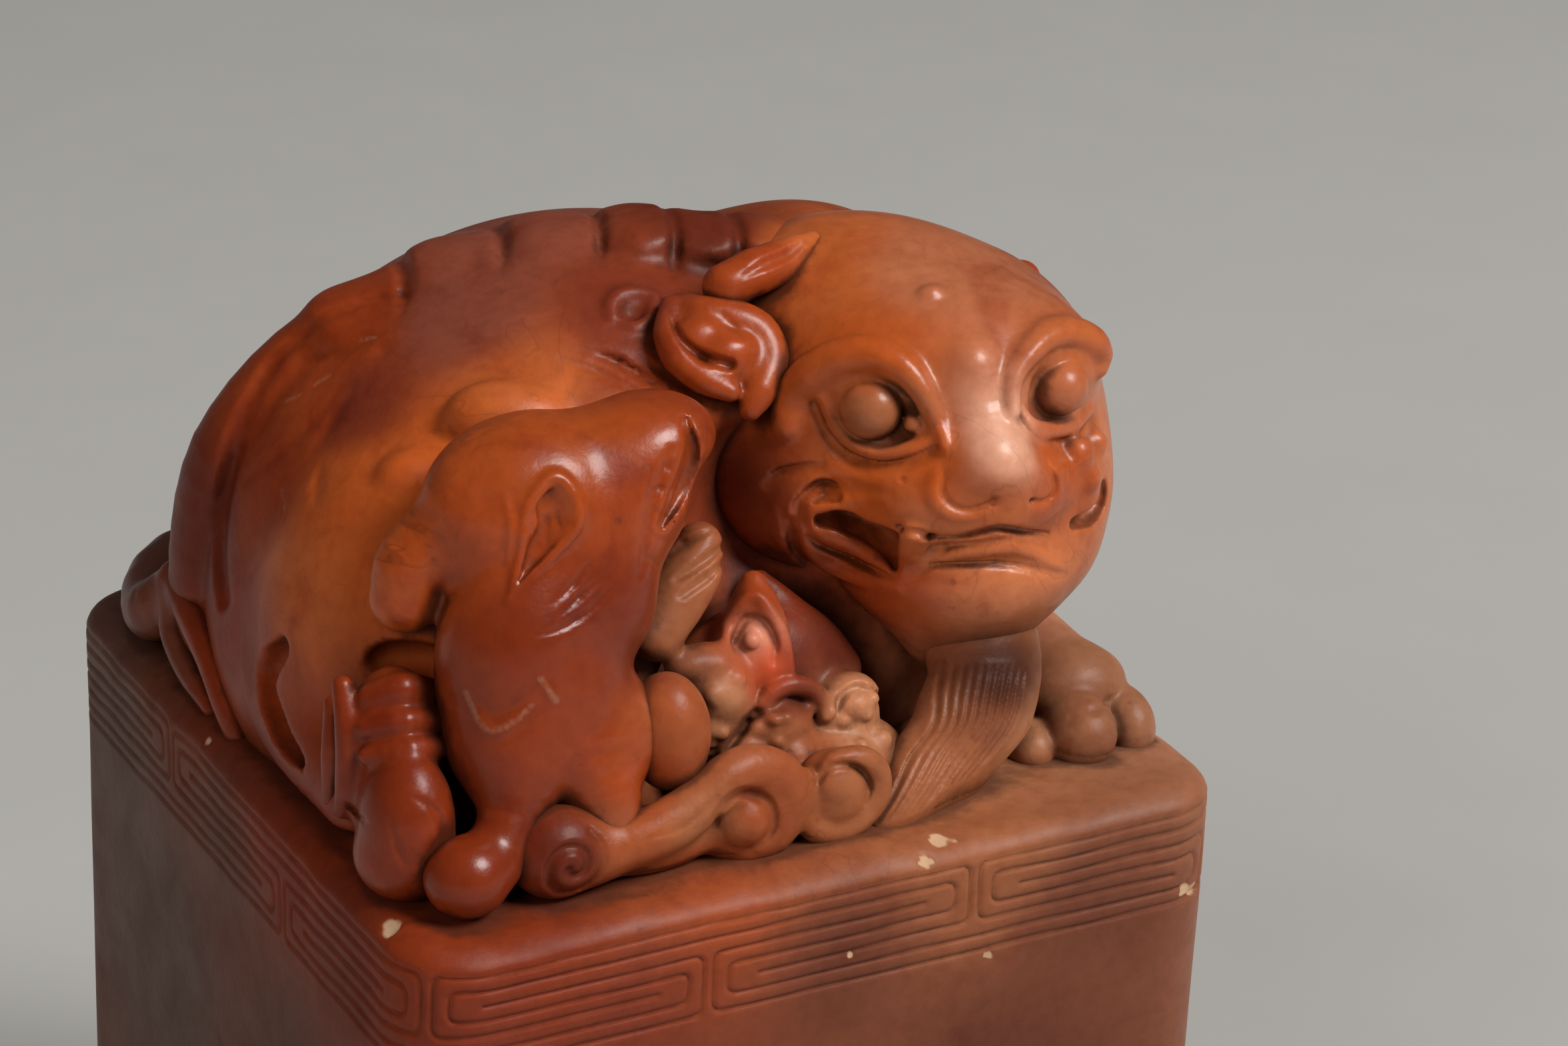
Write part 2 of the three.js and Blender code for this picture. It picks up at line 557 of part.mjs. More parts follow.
export default seal;
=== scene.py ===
import bpy
import numpy as np
from mathutils import Matrix


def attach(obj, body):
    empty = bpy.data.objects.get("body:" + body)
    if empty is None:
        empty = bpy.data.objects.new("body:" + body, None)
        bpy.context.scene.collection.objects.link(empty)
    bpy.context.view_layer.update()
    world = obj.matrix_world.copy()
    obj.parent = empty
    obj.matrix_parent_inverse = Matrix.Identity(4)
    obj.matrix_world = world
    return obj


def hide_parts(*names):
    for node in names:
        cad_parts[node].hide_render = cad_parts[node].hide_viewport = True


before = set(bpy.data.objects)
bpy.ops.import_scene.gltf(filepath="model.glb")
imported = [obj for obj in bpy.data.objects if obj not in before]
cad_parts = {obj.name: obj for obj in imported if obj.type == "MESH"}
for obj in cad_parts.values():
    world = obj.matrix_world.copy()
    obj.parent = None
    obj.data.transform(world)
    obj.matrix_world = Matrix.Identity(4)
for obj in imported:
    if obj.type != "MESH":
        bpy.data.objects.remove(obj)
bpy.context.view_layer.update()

# The knob is worked out in millimetres from the middle of the block's top, and set down in metres.
MM = 0.001
BLOCK_SIDE = 40.0
BLOCK_HEIGHT = 47.0
CORNER_RADIUS = 3.5
HEAD_YAW = 17.0
HEAD_CENTRE = np.array([10.5, -7.0, 13.6])
HEAD_OUT = np.array([-np.sin(np.radians(HEAD_YAW)), -np.cos(np.radians(HEAD_YAW)), 0.0])
HEAD_ACROSS = np.array([np.cos(np.radians(HEAD_YAW)), -np.sin(np.radians(HEAD_YAW)), 0.0])
FRONT_LEFT = np.array([-0.455, -0.795, 0.400])
UP = np.array([0.0, 0.0, 1.0])


def turned(turn):
    ax, ay, az = np.radians(turn)
    rx = np.array([[1, 0, 0], [0, np.cos(ax), -np.sin(ax)], [0, np.sin(ax), np.cos(ax)]])
    ry = np.array([[np.cos(ay), 0, np.sin(ay)], [0, 1, 0], [-np.sin(ay), 0, np.cos(ay)]])
    rz = np.array([[np.cos(az), -np.sin(az), 0], [np.sin(az), np.cos(az), 0], [0, 0, 1]])
    return rz @ ry @ rx


def unit(v):
    v = np.asarray(v, float)
    return v / np.linalg.norm(v)


def smooth_path(points, count):
    """A smooth curve through the points, as count + 1 places on it."""
    p = np.asarray(points, float)
    p = np.vstack([2 * p[0] - p[1], p, 2 * p[-1] - p[-2]])
    spans = len(p) - 3
    out = []
    for s in np.linspace(0, spans, count + 1):
        i = min(int(s), spans - 1)
        t = s - i
        a, b, c, d = p[i:i + 4]
        bend = (2 * a - 5 * b + 4 * c - d) * t**2 + (3 * b - a - 3 * c + d) * t**3
        out.append(0.5 * (2 * b + (c - a) * t + bend))
    return np.array(out)


def spread(values, count):
    values = np.atleast_1d(np.asarray(values, float))
    return np.interp(np.linspace(0, 1, count + 1), np.linspace(0, 1, len(values)), values)


class Mass:
    """A rounded lump: an ellipsoid."""

    def __init__(self, centre, half, turn=(0, 0, 0)):
        self.c = np.asarray(centre, float)
        self.h = np.asarray(half, float)
        self.r = turned(turn)
        reach = np.sqrt(((self.r * self.h) ** 2).sum(1))
        self.lo, self.hi = self.c - reach, self.c + reach

    def distance(self, x, y, z):
        q = [x - self.c[0], y - self.c[1], z - self.c[2]]
        own = [q[0] * self.r[0, k] + q[1] * self.r[1, k] + q[2] * self.r[2, k] for k in range(3)]
        k0 = np.sqrt(sum((own[k] / self.h[k]) ** 2 for k in range(3)))
        k1 = np.sqrt(sum((own[k] / self.h[k] ** 2) ** 2 for k in range(3))) + 1e-6
        return np.where(k0 < 1e-3, -self.h.min(), k0 * (k0 - 1) / k1)


class Limb:
    """An oval swept along a smooth path, with its width and depth changing on the way."""

    def __init__(self, points, wide, deep=None, face=(0, 0, 1)):
        count = 4 * (len(points) - 1)
        self.p = smooth_path(points, count)
        self.w = spread(wide, count)
        self.d = self.w if deep is None else spread(deep, count)
        self.face = unit(face)
        self.round = deep is None
        most = max(self.w.max(), self.d.max())
        self.lo, self.hi = self.p.min(0) - most, self.p.max(0) + most

    def distance(self, x, y, z):
        best = None
        for i in range(len(self.p) - 1):
            a, b = self.p[i], self.p[i + 1]
            axis = b - a
            size = np.linalg.norm(axis)
            if size < 1e-6:
                continue
            axis = axis / size
            qx, qy, qz = x - a[0], y - a[1], z - a[2]
            t = np.clip((qx * axis[0] + qy * axis[1] + qz * axis[2]) / size, 0, 1)
            qx = qx - t * (size * axis[0])
            qy = qy - t * (size * axis[1])
            qz = qz - t * (size * axis[2])
            w = self.w[i] + t * (self.w[i + 1] - self.w[i])
            if self.round:
                d = np.sqrt(qx * qx + qy * qy + qz * qz) - w
            else:
                e = self.d[i] + t * (self.d[i + 1] - self.d[i])
                across = unit(np.cross(axis, self.face))
                out = np.cross(axis, across)
                u = qx * across[0] + qy * across[1] + qz * across[2]
                v = qx * out[0] + qy * out[1] + qz * out[2]
                s = qx * axis[0] + qy * axis[1] + qz * axis[2]
                m = np.minimum(w, e)
                k0 = np.sqrt((u / w) ** 2 + (v / e) ** 2 + (s / m) ** 2)
                k1 = np.sqrt((u / w**2) ** 2 + (v / e**2) ** 2 + (s / m**2) ** 2) + 1e-6
                d = np.where(k0 < 1e-3, -m, k0 * (k0 - 1) / k1)
            best = d if best is None else np.minimum(best, d)
        return best


class Carving:
    """One member of the knob, held as distances to its surface on a grid of its own."""
    FAR = 4.0

    def __init__(self, lo, hi, step):
        self.step = step
        self.lo = np.asarray(lo, float)
        self.n = np.ceil((np.asarray(hi, float) - self.lo) / step).astype(int) + 1
        self.axes = [(self.lo[k] + step * np.arange(self.n[k])).astype(np.float32) for k in range(3)]
        self.f = np.full(self.n, self.FAR, np.float32)
        self.marks = []

    def window(self, lo, hi, margin):
        a = np.clip(np.floor((lo - margin - self.lo) / self.step).astype(int), 0, self.n)
        b = np.clip(np.ceil((hi + margin - self.lo) / self.step).astype(int) + 1, 0, self.n)
        if (b <= a).any():
            return None, None
        s = tuple(slice(a[k], b[k]) for k in range(3))
        x, y, z = (self.axes[k][s[k]] for k in range(3))
        return s, (x[:, None, None], y[None, :, None], z[None, None, :])

    def add(self, shape, blend=0.3, margin=2.0):
        s, g = self.window(shape.lo, shape.hi, margin + blend)
        d = shape.distance(*g).astype(np.float32)
        f = self.f[s]
        h = np.maximum(blend - np.abs(f - d), 0) / max(blend, 1e-6)
        self.f[s] = np.minimum(f, d) - h * h * blend * 0.25

    def masses(self, *rows):
        """Adds a mass for each row: its middle, half sizes and blend, and its turn where it has one."""
        for middle, half, blend, *turn in rows:
            self.add(Mass(middle, half, *turn), blend)

    def cut(self, shape, blend=0.2, margin=1.0):
        s, g = self.window(shape.lo, shape.hi, margin + blend)
        if s is None:
            return
        d = -shape.distance(*g).astype(np.float32)
        f = self.f[s]
        h = np.maximum(blend - np.abs(f - d), 0) / max(blend, 1e-6)
        self.f[s] = np.maximum(f, d) + h * h * blend * 0.25

    def place(self, p, out, lift=0.0, reach=12.0):
        """The spot where the surface lies on the line through p along out."""
        p, out = np.asarray(p, float), unit(out)
        stride = 0.05
        s = np.arange(reach, -reach, -stride)
        v = self.sample(p[None] + out[None] * s[:, None])
        k = int(np.argmax(v < 0))
        if v[k] >= 0:
            return p
        if k:
            s[k] = s[k - 1] + (s[k] - s[k - 1]) * v[k - 1] / (v[k - 1] - v[k])
        return p + out * (s[k] + lift)

    def seat(self, points, out=FRONT_LEFT, lift=0.0):
        return [self.place(p, out, lift) for p in points]

    def incise(self, points, width, depth, out, reach=1.5):
        """A groove of a given depth below whatever surface lies there; a ridge where depth is below 0."""
        out = unit(out)
        count = 4 * (len(points) - 1)
        p = smooth_path(points, count)
        w, deep = spread(width, count), spread(depth, count)
        s, g = self.window(p.min(0) - reach, p.max(0) + reach, w.max())
        if s is None:
            return
        x, y, z = g
        best = None
        for i in range(count):
            a, b = p[i], p[i + 1]
            axis = b - a
            flat = axis - out * (axis @ out)
            qx, qy, qz = x - a[0], y - a[1], z - a[2]
            t = np.clip((qx * flat[0] + qy * flat[1] + qz * flat[2]) / (flat @ flat + 1e-9), 0, 1)
            qx, qy, qz = qx - t * axis[0], qy - t * axis[1], qz - t * axis[2]
            o = qx * out[0] + qy * out[1] + qz * out[2]
            side = np.sqrt(np.maximum(qx * qx + qy * qy + qz * qz - o * o, 0))
            here = w[i] + t * (w[i + 1] - w[i])
            amount = (deep[i] + t * (deep[i + 1] - deep[i])) * np.clip(1 - (side / here) ** 2, 0, 1) ** 1.5
            amount = amount * np.clip(2 - np.abs(o) / reach * 2, 0, 1)
            best = amount if best is None else np.where(np.abs(amount) > np.abs(best), amount, best)
        self.f[s] += best.astype(np.float32)

    def stroke(self, points, width, depth, out=FRONT_LEFT, pale=0.0):
        """A groove laid on the surface; pale says how far round it the stone is bruised white."""
        q = self.seat(points, out)
        self.incise(q, width, depth, out, 1.2)
        if pale:
            self.marks.append((smooth_path(q, 4 * (len(q) - 1)), pale))

    def floor(self, z):
        self.f = np.maximum(self.f, (z - self.axes[2])[None, None, :])

    def sample(self, p):
        q = np.clip((p - self.lo) / self.step, 0, self.n - 1.001)
        i = q.astype(int)
        t = q - i
        out = 0
        for a in (0, 1):
            for b in (0, 1):
                for c in (0, 1):
                    w = (t[:, 0] if a else 1 - t[:, 0]) * (t[:, 1] if b else 1 - t[:, 1])
                    w = w * (t[:, 2] if c else 1 - t[:, 2])
                    out = out + w * self.f[i[:, 0] + a, i[:, 1] + b, i[:, 2] + c]
        return out

    def outward(self, p):
        e = self.step * 0.5
        return np.stack([(self.sample(p + d) - self.sample(p - d)) / (2 * e) for d in np.eye(3) * e], 1)

    def surface(self):
        """Points and four-sided faces of the carved surface."""
        for k in range(3):
            for end in (0, -1):
                edge = [slice(None)] * 3
                edge[k] = end
                self.f[tuple(edge)] = np.maximum(self.f[tuple(edge)], self.step)
        f, n = self.f, self.n
        inside = f < 0
        total = np.zeros(n - 1, np.int8)
        corners = [(a, b, c) for a in (0, 1) for b in (0, 1) for c in (0, 1)]
        for a, b, c in corners:
            total += inside[a:n[0] - 1 + a, b:n[1] - 1 + b, c:n[2] - 1 + c]
        cells = (total > 0) & (total < 8)
        where = np.argwhere(cells)
        number = np.full(cells.shape, -1, np.int64)
        number[cells] = np.arange(len(where))
        acc = np.zeros((len(where), 3))
        hits = np.zeros(len(where))
        i, j, k = where.T
        for a in corners:
            for axis in range(3):
                if a[axis]:
                    continue
                b = list(a)
                b[axis] = 1
                fa = f[i + a[0], j + a[1], k + a[2]]
                fb = f[i + b[0], j + b[1], k + b[2]]
                m = (fa < 0) != (fb < 0)
                t = np.where(m, fa / np.where(m, fa - fb, 1), 0)
                p = np.tile(np.array(a, float), (len(where), 1))
                p[:, axis] += t
                acc[m] += p[m]
                hits[m] += 1
        points = self.lo + (where + acc / hits[:, None]) * self.step
        quads = []
        for axis in range(3):
            u, v = (axis + 1) % 3, (axis + 2) % 3
            lo = [slice(1, n[m] - 1) for m in range(3)]
            lo[axis] = slice(0, n[axis] - 1)
            hi = list(lo)
            hi[axis] = slice(1, n[axis])
            a, b = inside[tuple(lo)], inside[tuple(hi)]
            base = [1, 1, 1]
            base[axis] = 0
            for outwards, crossing in ((True, a & ~b), (False, ~a & b)):
                e = np.argwhere(crossing) + base
                if not len(e):
                    continue
                ring = []
                for du, dv in ((1, 1), (0, 1), (0, 0), (1, 0)):
                    c = e.copy()
                    c[:, u] -= du
                    c[:, v] -= dv
                    ring.append(number[c[:, 0], c[:, 1], c[:, 2]])
                quads.append(np.stack(ring if outwards else ring[::-1], 1))
        # two short moves bring the points onto the surface itself
        for _ in range(2):
            g = self.outward(points)
            v = self.sample(points)
            points = points - g * (v / np.maximum((g * g).sum(1), 0.2))[:, None] * 0.8
        return points, np.concatenate(quads)


# Places on the mother's head: across it, out of the face, and up, from the middle of the skull.
def on_head(p):
    return HEAD_CENTRE + HEAD_ACROSS * p[0] + HEAD_OUT * p[1] + UP * p[2]


def head_mass(p, half):
    return Mass(on_head(p), half, (0, 0, -HEAD_YAW))


# The carved members.
def carve_body(step=0.225):
    """The mother's trunk, shoulder, haunch and spine, with the loops of her mane."""
    c = Carving((-20.6, -16, -0.8), (20.4, 20, 24), step)
    c.masses(((-1.6, 2.6, 4.4), (17.2, 15.6, 17.0), 0.3, (0, 6, 0)), ((10, 3.0, 6), (8.5, 12.1, 13.7), 2.4),
             ((8.2, 1.4, 15.1), (7.2, 6.6, 6.1), 2.0),
             ((-11.2, -3.6, 6.2), (7.9, 8.8, 9.6), 1.0, (0, 0, 8)))
    c.add(Limb([(-15, 3, 3), (-16.4, -4, 2.6), (-16.8, -9, 2.4)], [3.2, 2.8, 2.4]), 1.5)
    spine = [(-17.4, 8.5, 1.5), (-17.7, 8.6, 6), (-16.7, 8.2, 11), (-13.7, 7, 15.4), (-9.2, 5.2, 18.6),
             (-3.8, 3, 20.6), (1.3, 1, 21.0), (6, -1, 20.6)]
    c.add(Limb(spine, [1.8, 1.9, 2.1, 2.1, 2, 1.8, 1.5, 1.3], [1.1, 1.2, 1.3, 1.2, 1.1, 1, 0.9, 0.8],
               (-0.4, 0, 1)), 0.5)
    for bone in [(-11.4, 6, 17.4), (-7.4, 4.6, 19.6), (-3.4, 2.8, 20.9), (0.3, 1.3, 21.4)]:
        c.add(Mass(bone, (1.7, 2.4, 0.85), (0, 0, -20)), 1.1)
    for bone in [(2.7, -0.3, 21.2), (5.2, -1.2, 21.2)]:
        c.add(Mass(bone, (1.6, 1.9, 0.6)), 1.3)
    for x, y in ((-9.4, 5.1), (-5.4, 3.7), (-1.5, 2.0), (1.4, 0.5), (3.9, -0.8)):
        c.stroke([(x - 1.3, y - 2.9, 21), (x - 0.3, y - 1.2, 21), (x + 0.3, y + 0.6, 21),
                  (x + 0.6, y + 2.0, 21)], [0.3, 0.45, 0.45, 0.3], [0.08, 0.3, 0.3, 0.08], UP)
    # hollows: below the chin, behind the cub, at the hock and between the legs
    c.cut(Mass((1.5, -13.5, 4), (7.5, 5.2, 7)), 1.0)
    c.cut(Mass((0.8, -12.6, 12.6), (4.6, 5.6, 6.0)), 1.2)
    c.cut(Mass((-3.0, -12.5, 11), (1.6, 4.2, 4.5)), 0.8)
    c.masses(((-8.8, -5.3, 16.3), (3.0, 1.8, 1.8), 0.4, (0, 8, -20)),
             ((-13.2, -5.0, 14.4), (1.8, 1.3, 1.2), 0.4))
    hock = [(-18.9, -4.2, 7.2), (-18.9, -2.6, 5.0), (-18.9, -4.4, 3.4), (-18.7, -6.6, 2.9)]
    c.cut(Limb(hock, [0.45, 0.95, 0.8, 0.35], [0.8, 1.1, 1.1, 0.6], (-1, 0, 0)), 0.25)
    c.cut(Mass((-15.9, -10.8, 8.2), (2.0, 2.6, 1.15)), 0.4)
    c.cut(Mass((-17.7, -9.6, 0.4), (1.1, 1.5, 0.9)), 0.3)
    # the long crease beside the spine, and the hairs cut in the flank
    c.stroke([(-18.7, 3.1, 6.2), (-18.1, 5.0, 8.6), (-17.0, 6.1, 11.8), (-15.3, 6.2, 15.3),
              (-13.3, 5.8, 17.3), (-11.0, 4.4, 18.7), (-8.9, 2.2, 19.8)],
             [0.5, 0.6, 0.6, 0.5, 0.4, 0.3, 0.2], [0.5, 0.5, 0.45, 0.35, 0.25, 0.15, 0.05])
    for hair in ([(-11.5, 4.7, 18.5), (-10.3, 3.1, 19.1), (-9.0, 1.8, 19.7)],
                 [(-14.4, 5.3, 15.8), (-13.3, 3.5, 16.9), (-11.8, 2.0, 18.1)],
                 [(-12.5, 1.1, 17.5), (-11.7, 0.8, 18.1)],
                 [(-15.7, 0.1, 13.9), (-14.7, 0.3, 15.2), (-13.5, 0.8, 16.5)],
                 [(-17.2, 4.2, 11.3), (-16.3, 2.3, 13.2), (-15.6, 1.7, 14.2), (-14.7, 0.9, 15.3)],
                 [(-15.8, -1.0, 13.7), (-16.9, -2.8, 12.8)]):
        c.stroke(hair, [0.25, 0.42, 0.25], [0.06, 0.18, 0.06])
    loop = c.seat([(-3.7, -4.1, 19.8), (-3.5, -3.6, 20.1), (-3.0, -3.2, 20.3), (-2.2, -3.2, 20.4),
                   (-1.6, -3.8, 20.3), (-1.8, -4.4, 20.0), (-2.2, -4.7, 19.8), (-2.8, -4.8, 19.5),
                   (-3.3, -4.6, 19.6)], lift=0.0)
    c.add(Limb(loop, [0.25, 0.35, 0.4, 0.4, 0.38, 0.35, 0.32, 0.28, 0.2]), 0.3)
    c.cut(Mass(c.place((-2.6, -4.0, 19.9), FRONT_LEFT, 0.1), (0.5, 0.4, 0.4)), 0.3)
    for nick in ([(-14.6, 2.6, 16.0), (-14.2, 2.0, 16.6)], [(-16.8, 1.0, 12.0), (-16.9, 0.2, 11.4)],
                 [(-15.6, 3.6, 15.0), (-15.2, 2.9, 15.5)], [(-12.6, 2.4, 17.8), (-12.1, 1.8, 18.1)]):
        c.stroke(nick, [0.2, 0.2], [0.03, 0.03], pale=0.3)
    for hair in ([(-6.4, -4.8, 18.6), (-5.1, -6.0, 18.2), (-3.8, -7.2, 17.5)],
                 [(-4.8, -5.2, 18.8), (-3.5, -6.5, 18.1), (-2.4, -7.5, 17.4)],
                 [(-3.7, -5.6, 18.7), (-2.4, -6.8, 18.0), (-1.3, -7.8, 17.3)],
                 [(-5.8, -4.4, 18.9), (-4.2, -5.8, 18.4), (-3.0, -7.0, 17.7)]):
        c.stroke(hair, [0.2, 0.4, 0.2], [0.08, 0.28, 0.1])
    for k in range(4):
        drop = 0.35 * k
        c.stroke([(-19, -0.2, 1.9 - drop), (-19, -2.6, 1.1 - drop), (-19, -5.0, 0.9 - drop),
                  (-19, -7.6, 1.7 - drop)], [0.15, 0.22, 0.15], [0.05, 0.15, 0.05], (-1, -0.2, 0))
    c.floor(-0.5)
    return c


def carve_tail(step=0.2):
    c = Carving((-20.3, -1, -1), (9, 20.4, 7), step)
    c.add(Limb([(-17.9, 10.5, 3.6), (-18.3, 12.5, 1.8), (-15.5, 16.3, 1.7), (-8, 17.8, 1.9), (0, 18, 2),
                (6, 17.6, 3.2)], [1.2, 1.5, 1.9, 2, 1.8, 1.3]))
    c.add(Limb([(-17.9, 10.2, 4.2), (-18.3, 7.4, 3.5), (-18.5, 4.8, 2.6), (-18.5, 3.2, 1.2),
                (-18.4, 2.4, 0)], [1.0, 0.85, 0.8, 0.75, 0.6]), 0.3)
    c.add(Limb([(-18.2, 9.9, 3.4), (-18.5, 9.4, 2.0), (-18.6, 7.6, 0.8), (-18.6, 5, 0.1)],
               [0.9, 0.75, 0.6, 0.4]), 0.25)
    c.floor(-0.3)
    return c


def carve_head(step=0.135):
    """The mother's head, looking out of the front to the left."""
    c = Carving((-1, -20, 3), (21, 4, 25), step)
    c.add(head_mass((-0.5, -0.6, 1.0), (7.9, 8.2, 7.4)))
    c.add(head_mass((0.6, -1.2, 1.3), (7.4, 7.2, 6.4)), 1.0)
    c.add(head_mass((-3.4, -2.6, 5.3), (5.4, 5.2, 3.5)), 2.0)
    c.add(head_mass((-6.9, -1.2, -0.4), (4.7, 5.8, 6.0)), 2.0)
    c.add(head_mass((0, 2.9, 4.2), (6.9, 4.3, 3.4)), 1.5)
    c.add(head_mass((0.3, 4.9, -0.2), (5.2, 4.5, 3.2)), 1.4)
    c.add(head_mass((0.9, 3.8, -4.2), (5.8, 4.8, 3.5)), 1.2)
    c.add(Limb([on_head((0.9, 4.4, -4.8)), on_head((1.0, 5.0, -6.4)), on_head((1.0, 5.1, -7.8))],
               [3.3, 2.85, 2.5], [2.4, 2.0, 1.6], (0, -1, 0.2)), 2.6)
    c.add(head_mass((-5.3, 0.9, -1.0), (3.9, 5.6, 4.6)), 1.4)
    c.add(head_mass((4.9, 1, -1.8), (3.3, 5.6, 4.9)), 1.4)

    def on(across, up, lift=0.0):
        return c.place(on_head((across, 0, up)), HEAD_OUT, lift)

    def line(places, lift=0.0):
        return [on(across, up, lift) for across, up in places]

    def groove(places, width, depth):
        c.incise(places, width, depth, HEAD_OUT)

    # nose
    c.add(Limb(line([(0.2, 5.4), (0.4, 3.8), (0.7, 2.2)], -0.6), [1.0, 1.15, 1.5]), 1.0)
    c.add(head_mass((0.85, 6.7, 1.2), (3.15, 2.6, 1.85)), 0.9)
    c.add(head_mass((0.9, 7.4, 1.9), (1.7, 2.4, 1.6)), 1.0)
    left_brow = line([(-7.3, 2.3), (-7.0, 3.4), (-6.3, 4.6), (-5.2, 5.5), (-3.9, 5.85), (-2.8, 5.5),
                      (-2.0, 4.6), (-1.4, 3.4), (-1.2, 2.5)], -0.05)
    right_brow = line([(1.75, 3.7), (1.85, 5.0), (2.7, 5.9), (3.9, 6.3), (5.2, 6.0), (6.1, 5.4)])
    right_brow += [on_head((6.5, 4.0, 4.75)), on_head((6.55, 4.3, 4.2))]
    left_lid = line([(-5.9, 3.6), (-5.5, 2.6), (-4.8, 1.9), (-3.7, 1.7), (-2.5, 2.1), (-1.6, 2.6)], -0.15)
    right_lid = line([(2.0, 4.0), (2.7, 3.0), (3.8, 2.4), (5.1, 2.1), (6.1, 2.4)], -0.2)
    left_bag = line([(-6.2, 3.4), (-5.7, 2.3), (-5.0, 1.55), (-4.1, 1.35), (-2.9, 1.6), (-1.5, 2.3)])
    right_bag = line([(1.9, 3.6), (2.7, 2.3), (3.9, 1.7), (5.2, 1.4), (6.3, 1.8)])
    left_wing = line([(-1.3, 1.5), (-1.4, 0.7), (-1.0, 0.2), (-0.3, 0.0), (0.4, 0.2), (0.8, 0.5)])
    right_wing = line([(3.3, 1.6), (3.7, 0.8), (3.75, 0.1), (3.1, -0.1), (2.6, 0.1)])
    left_rim = line([(-1.65, 1.6), (-1.8, 0.6), (-1.3, -0.05), (-0.5, -0.3), (0.4, -0.1)])
    right_rim = line([(3.65, 1.6), (4.1, 0.7), (4.0, -0.2)])
    gape = line([(-5.9, -1.55), (-5.1, -1.5), (-4.3, -1.9), (-3.5, -2.25), (-2.9, -2.6)], -0.1)
    gape_curl = line([(-5.0, -0.1), (-5.5, 0.1), (-6.1, 0.1), (-6.6, -0.4), (-6.9, -1.1), (-6.6, -1.9)])
    curl_eye = line([(-5.4, -0.4), (-5.9, -0.35), (-6.3, -0.6)])
    slit = line([(-1.7, -1.5), (-0.7, -1.5), (0.1, -1.25), (1.2, -1.05), (2.6, -1.6), (3.9, -2.2)])
    lip_over_fang = line([(-2.9, -1.2), (-2.3, -1.15), (-1.6, -1.5)])
    lip_corner = line([(-1.6, -2.2), (-0.9, -2.05), (0.2, -1.8)], -0.1)
    lower_lip = line([(-1.2, -2.85), (-0.4, -2.4), (0.6, -2.15), (1.7, -2.15), (2.8, -2.65), (4.0, -3.4),
                      (4.8, -3.9)], -0.25)
    chin_crease = line([(-2.2, -3.8), (-1.6, -3.35), (-1.3, -3.1), (-0.3, -3.0), (1.1, -3.0), (2.2, -3.2),
                        (3.3, -3.6), (4.8, -4.2)])
    gum = line([(-5.9, -2.35), (-5.0, -2.55), (-4.2, -2.95), (-3.5, -3.35), (-3.1, -3.6)], -0.2)
    gum_slit = line([(-6.4, -2.4), (-5.5, -3.1), (-4.4, -3.6), (-3.6, -3.8), (-3.1, -3.9)])
    side_lip = line([(-6.8, -1.9), (-6.3, -3.1), (-5.4, -4.1), (-4.1, -4.35), (-2.7, -4.35)], -0.2)
    side_crease = line([(-7.1, -1.7), (-6.8, -3.2), (-5.9, -4.4), (-4.6, -5.0)])
    cheek_fold = line([(-7.8, -1.4), (-7.6, -2.6), (-7.1, -3.6)])
    cheek_crease = line([(-8.1, -0.3), (-7.6, 0.3), (-6.9, 0.65), (-6.0, 0.95)])
    smile = line([(-6.3, 0.7), (-4.8, 0.2), (-3.4, 0.35)])
    right_gape = line([(5.3, -2.0), (6.2, -2.0), (6.8, -1.6), (6.9, -0.9)])
    fang = line([(-2.2, -1.2), (-2.2, -2.6), (-2.55, -3.7)], -0.2)
    left_ball, right_ball = on(-3.95, 3.5, -0.72), on(4.45, 3.95, -0.7)
    tear, wart, pore = on(-2.35, 3.15, -0.3), on(-1.0, 7.7, -0.26), on(-2.9, 1.0)
    turn = (0, 0, -HEAD_YAW)
    # eyes
    c.cut(Mass(on(-3.9, 3.5, 0.2), (1.75, 0.66, 1.6), turn), 0.6)
    c.cut(Mass(on(-2.4, 3.1, 0.1), (0.9, 0.38, 0.8), turn), 0.4)
    c.cut(Mass(on(4.4, 3.9, 0.2), (1.65, 0.66, 1.5), turn), 0.6)
    c.add(Limb(left_brow, [0.7, 0.9, 0.95, 0.9, 0.82, 0.7, 0.55, 0.4, 0.25],
               [0.7, 0.75, 0.8, 0.8, 0.8, 0.75, 0.65, 0.5, 0.35], HEAD_OUT), 0.35)
    c.add(Limb(right_brow, [0.35, 0.5, 0.62, 0.68, 0.7, 0.75, 0.7, 0.4],
               [0.5, 0.7, 0.8, 0.85, 0.85, 0.8, 0.7, 0.4], HEAD_OUT), 0.35)
    c.add(Limb(left_lid, [0.25, 0.36, 0.4, 0.4, 0.36, 0.25]), 0.25)
    c.add(Limb(right_lid, [0.25, 0.36, 0.4, 0.38, 0.25]), 0.25)
    groove(left_bag, [0.35, 0.5, 0.55, 0.55, 0.5, 0.35], [0.1, 0.2, 0.24, 0.24, 0.2, 0.1])
    groove(right_bag, [0.35, 0.5, 0.55, 0.5, 0.35], [0.1, 0.2, 0.22, 0.2, 0.1])
    c.add(Mass(left_ball, (1.38, 1.38, 1.38)), 0.08)
    c.add(Mass(right_ball, (1.26, 1.26, 1.26)), 0.08)
    c.add(Mass(tear, (0.42, 0.42, 0.42)), 0.15)
    c.add(Mass(wart, (0.55, 0.4, 0.4)), 0.4)
    c.cut(Mass(pore, (0.12, 0.2, 0.12)), 0.05)
    # whisker pads at the right of the muzzle
    for across, up, size in ((5.3, 0.9, 0.75), (5.9, -0.2, 0.55), (6.5, 0.9, 0.5)):
        c.add(Mass(on(across, up, -size * 0.35), (size, size * 0.9, size * 1.1), turn), 0.4)
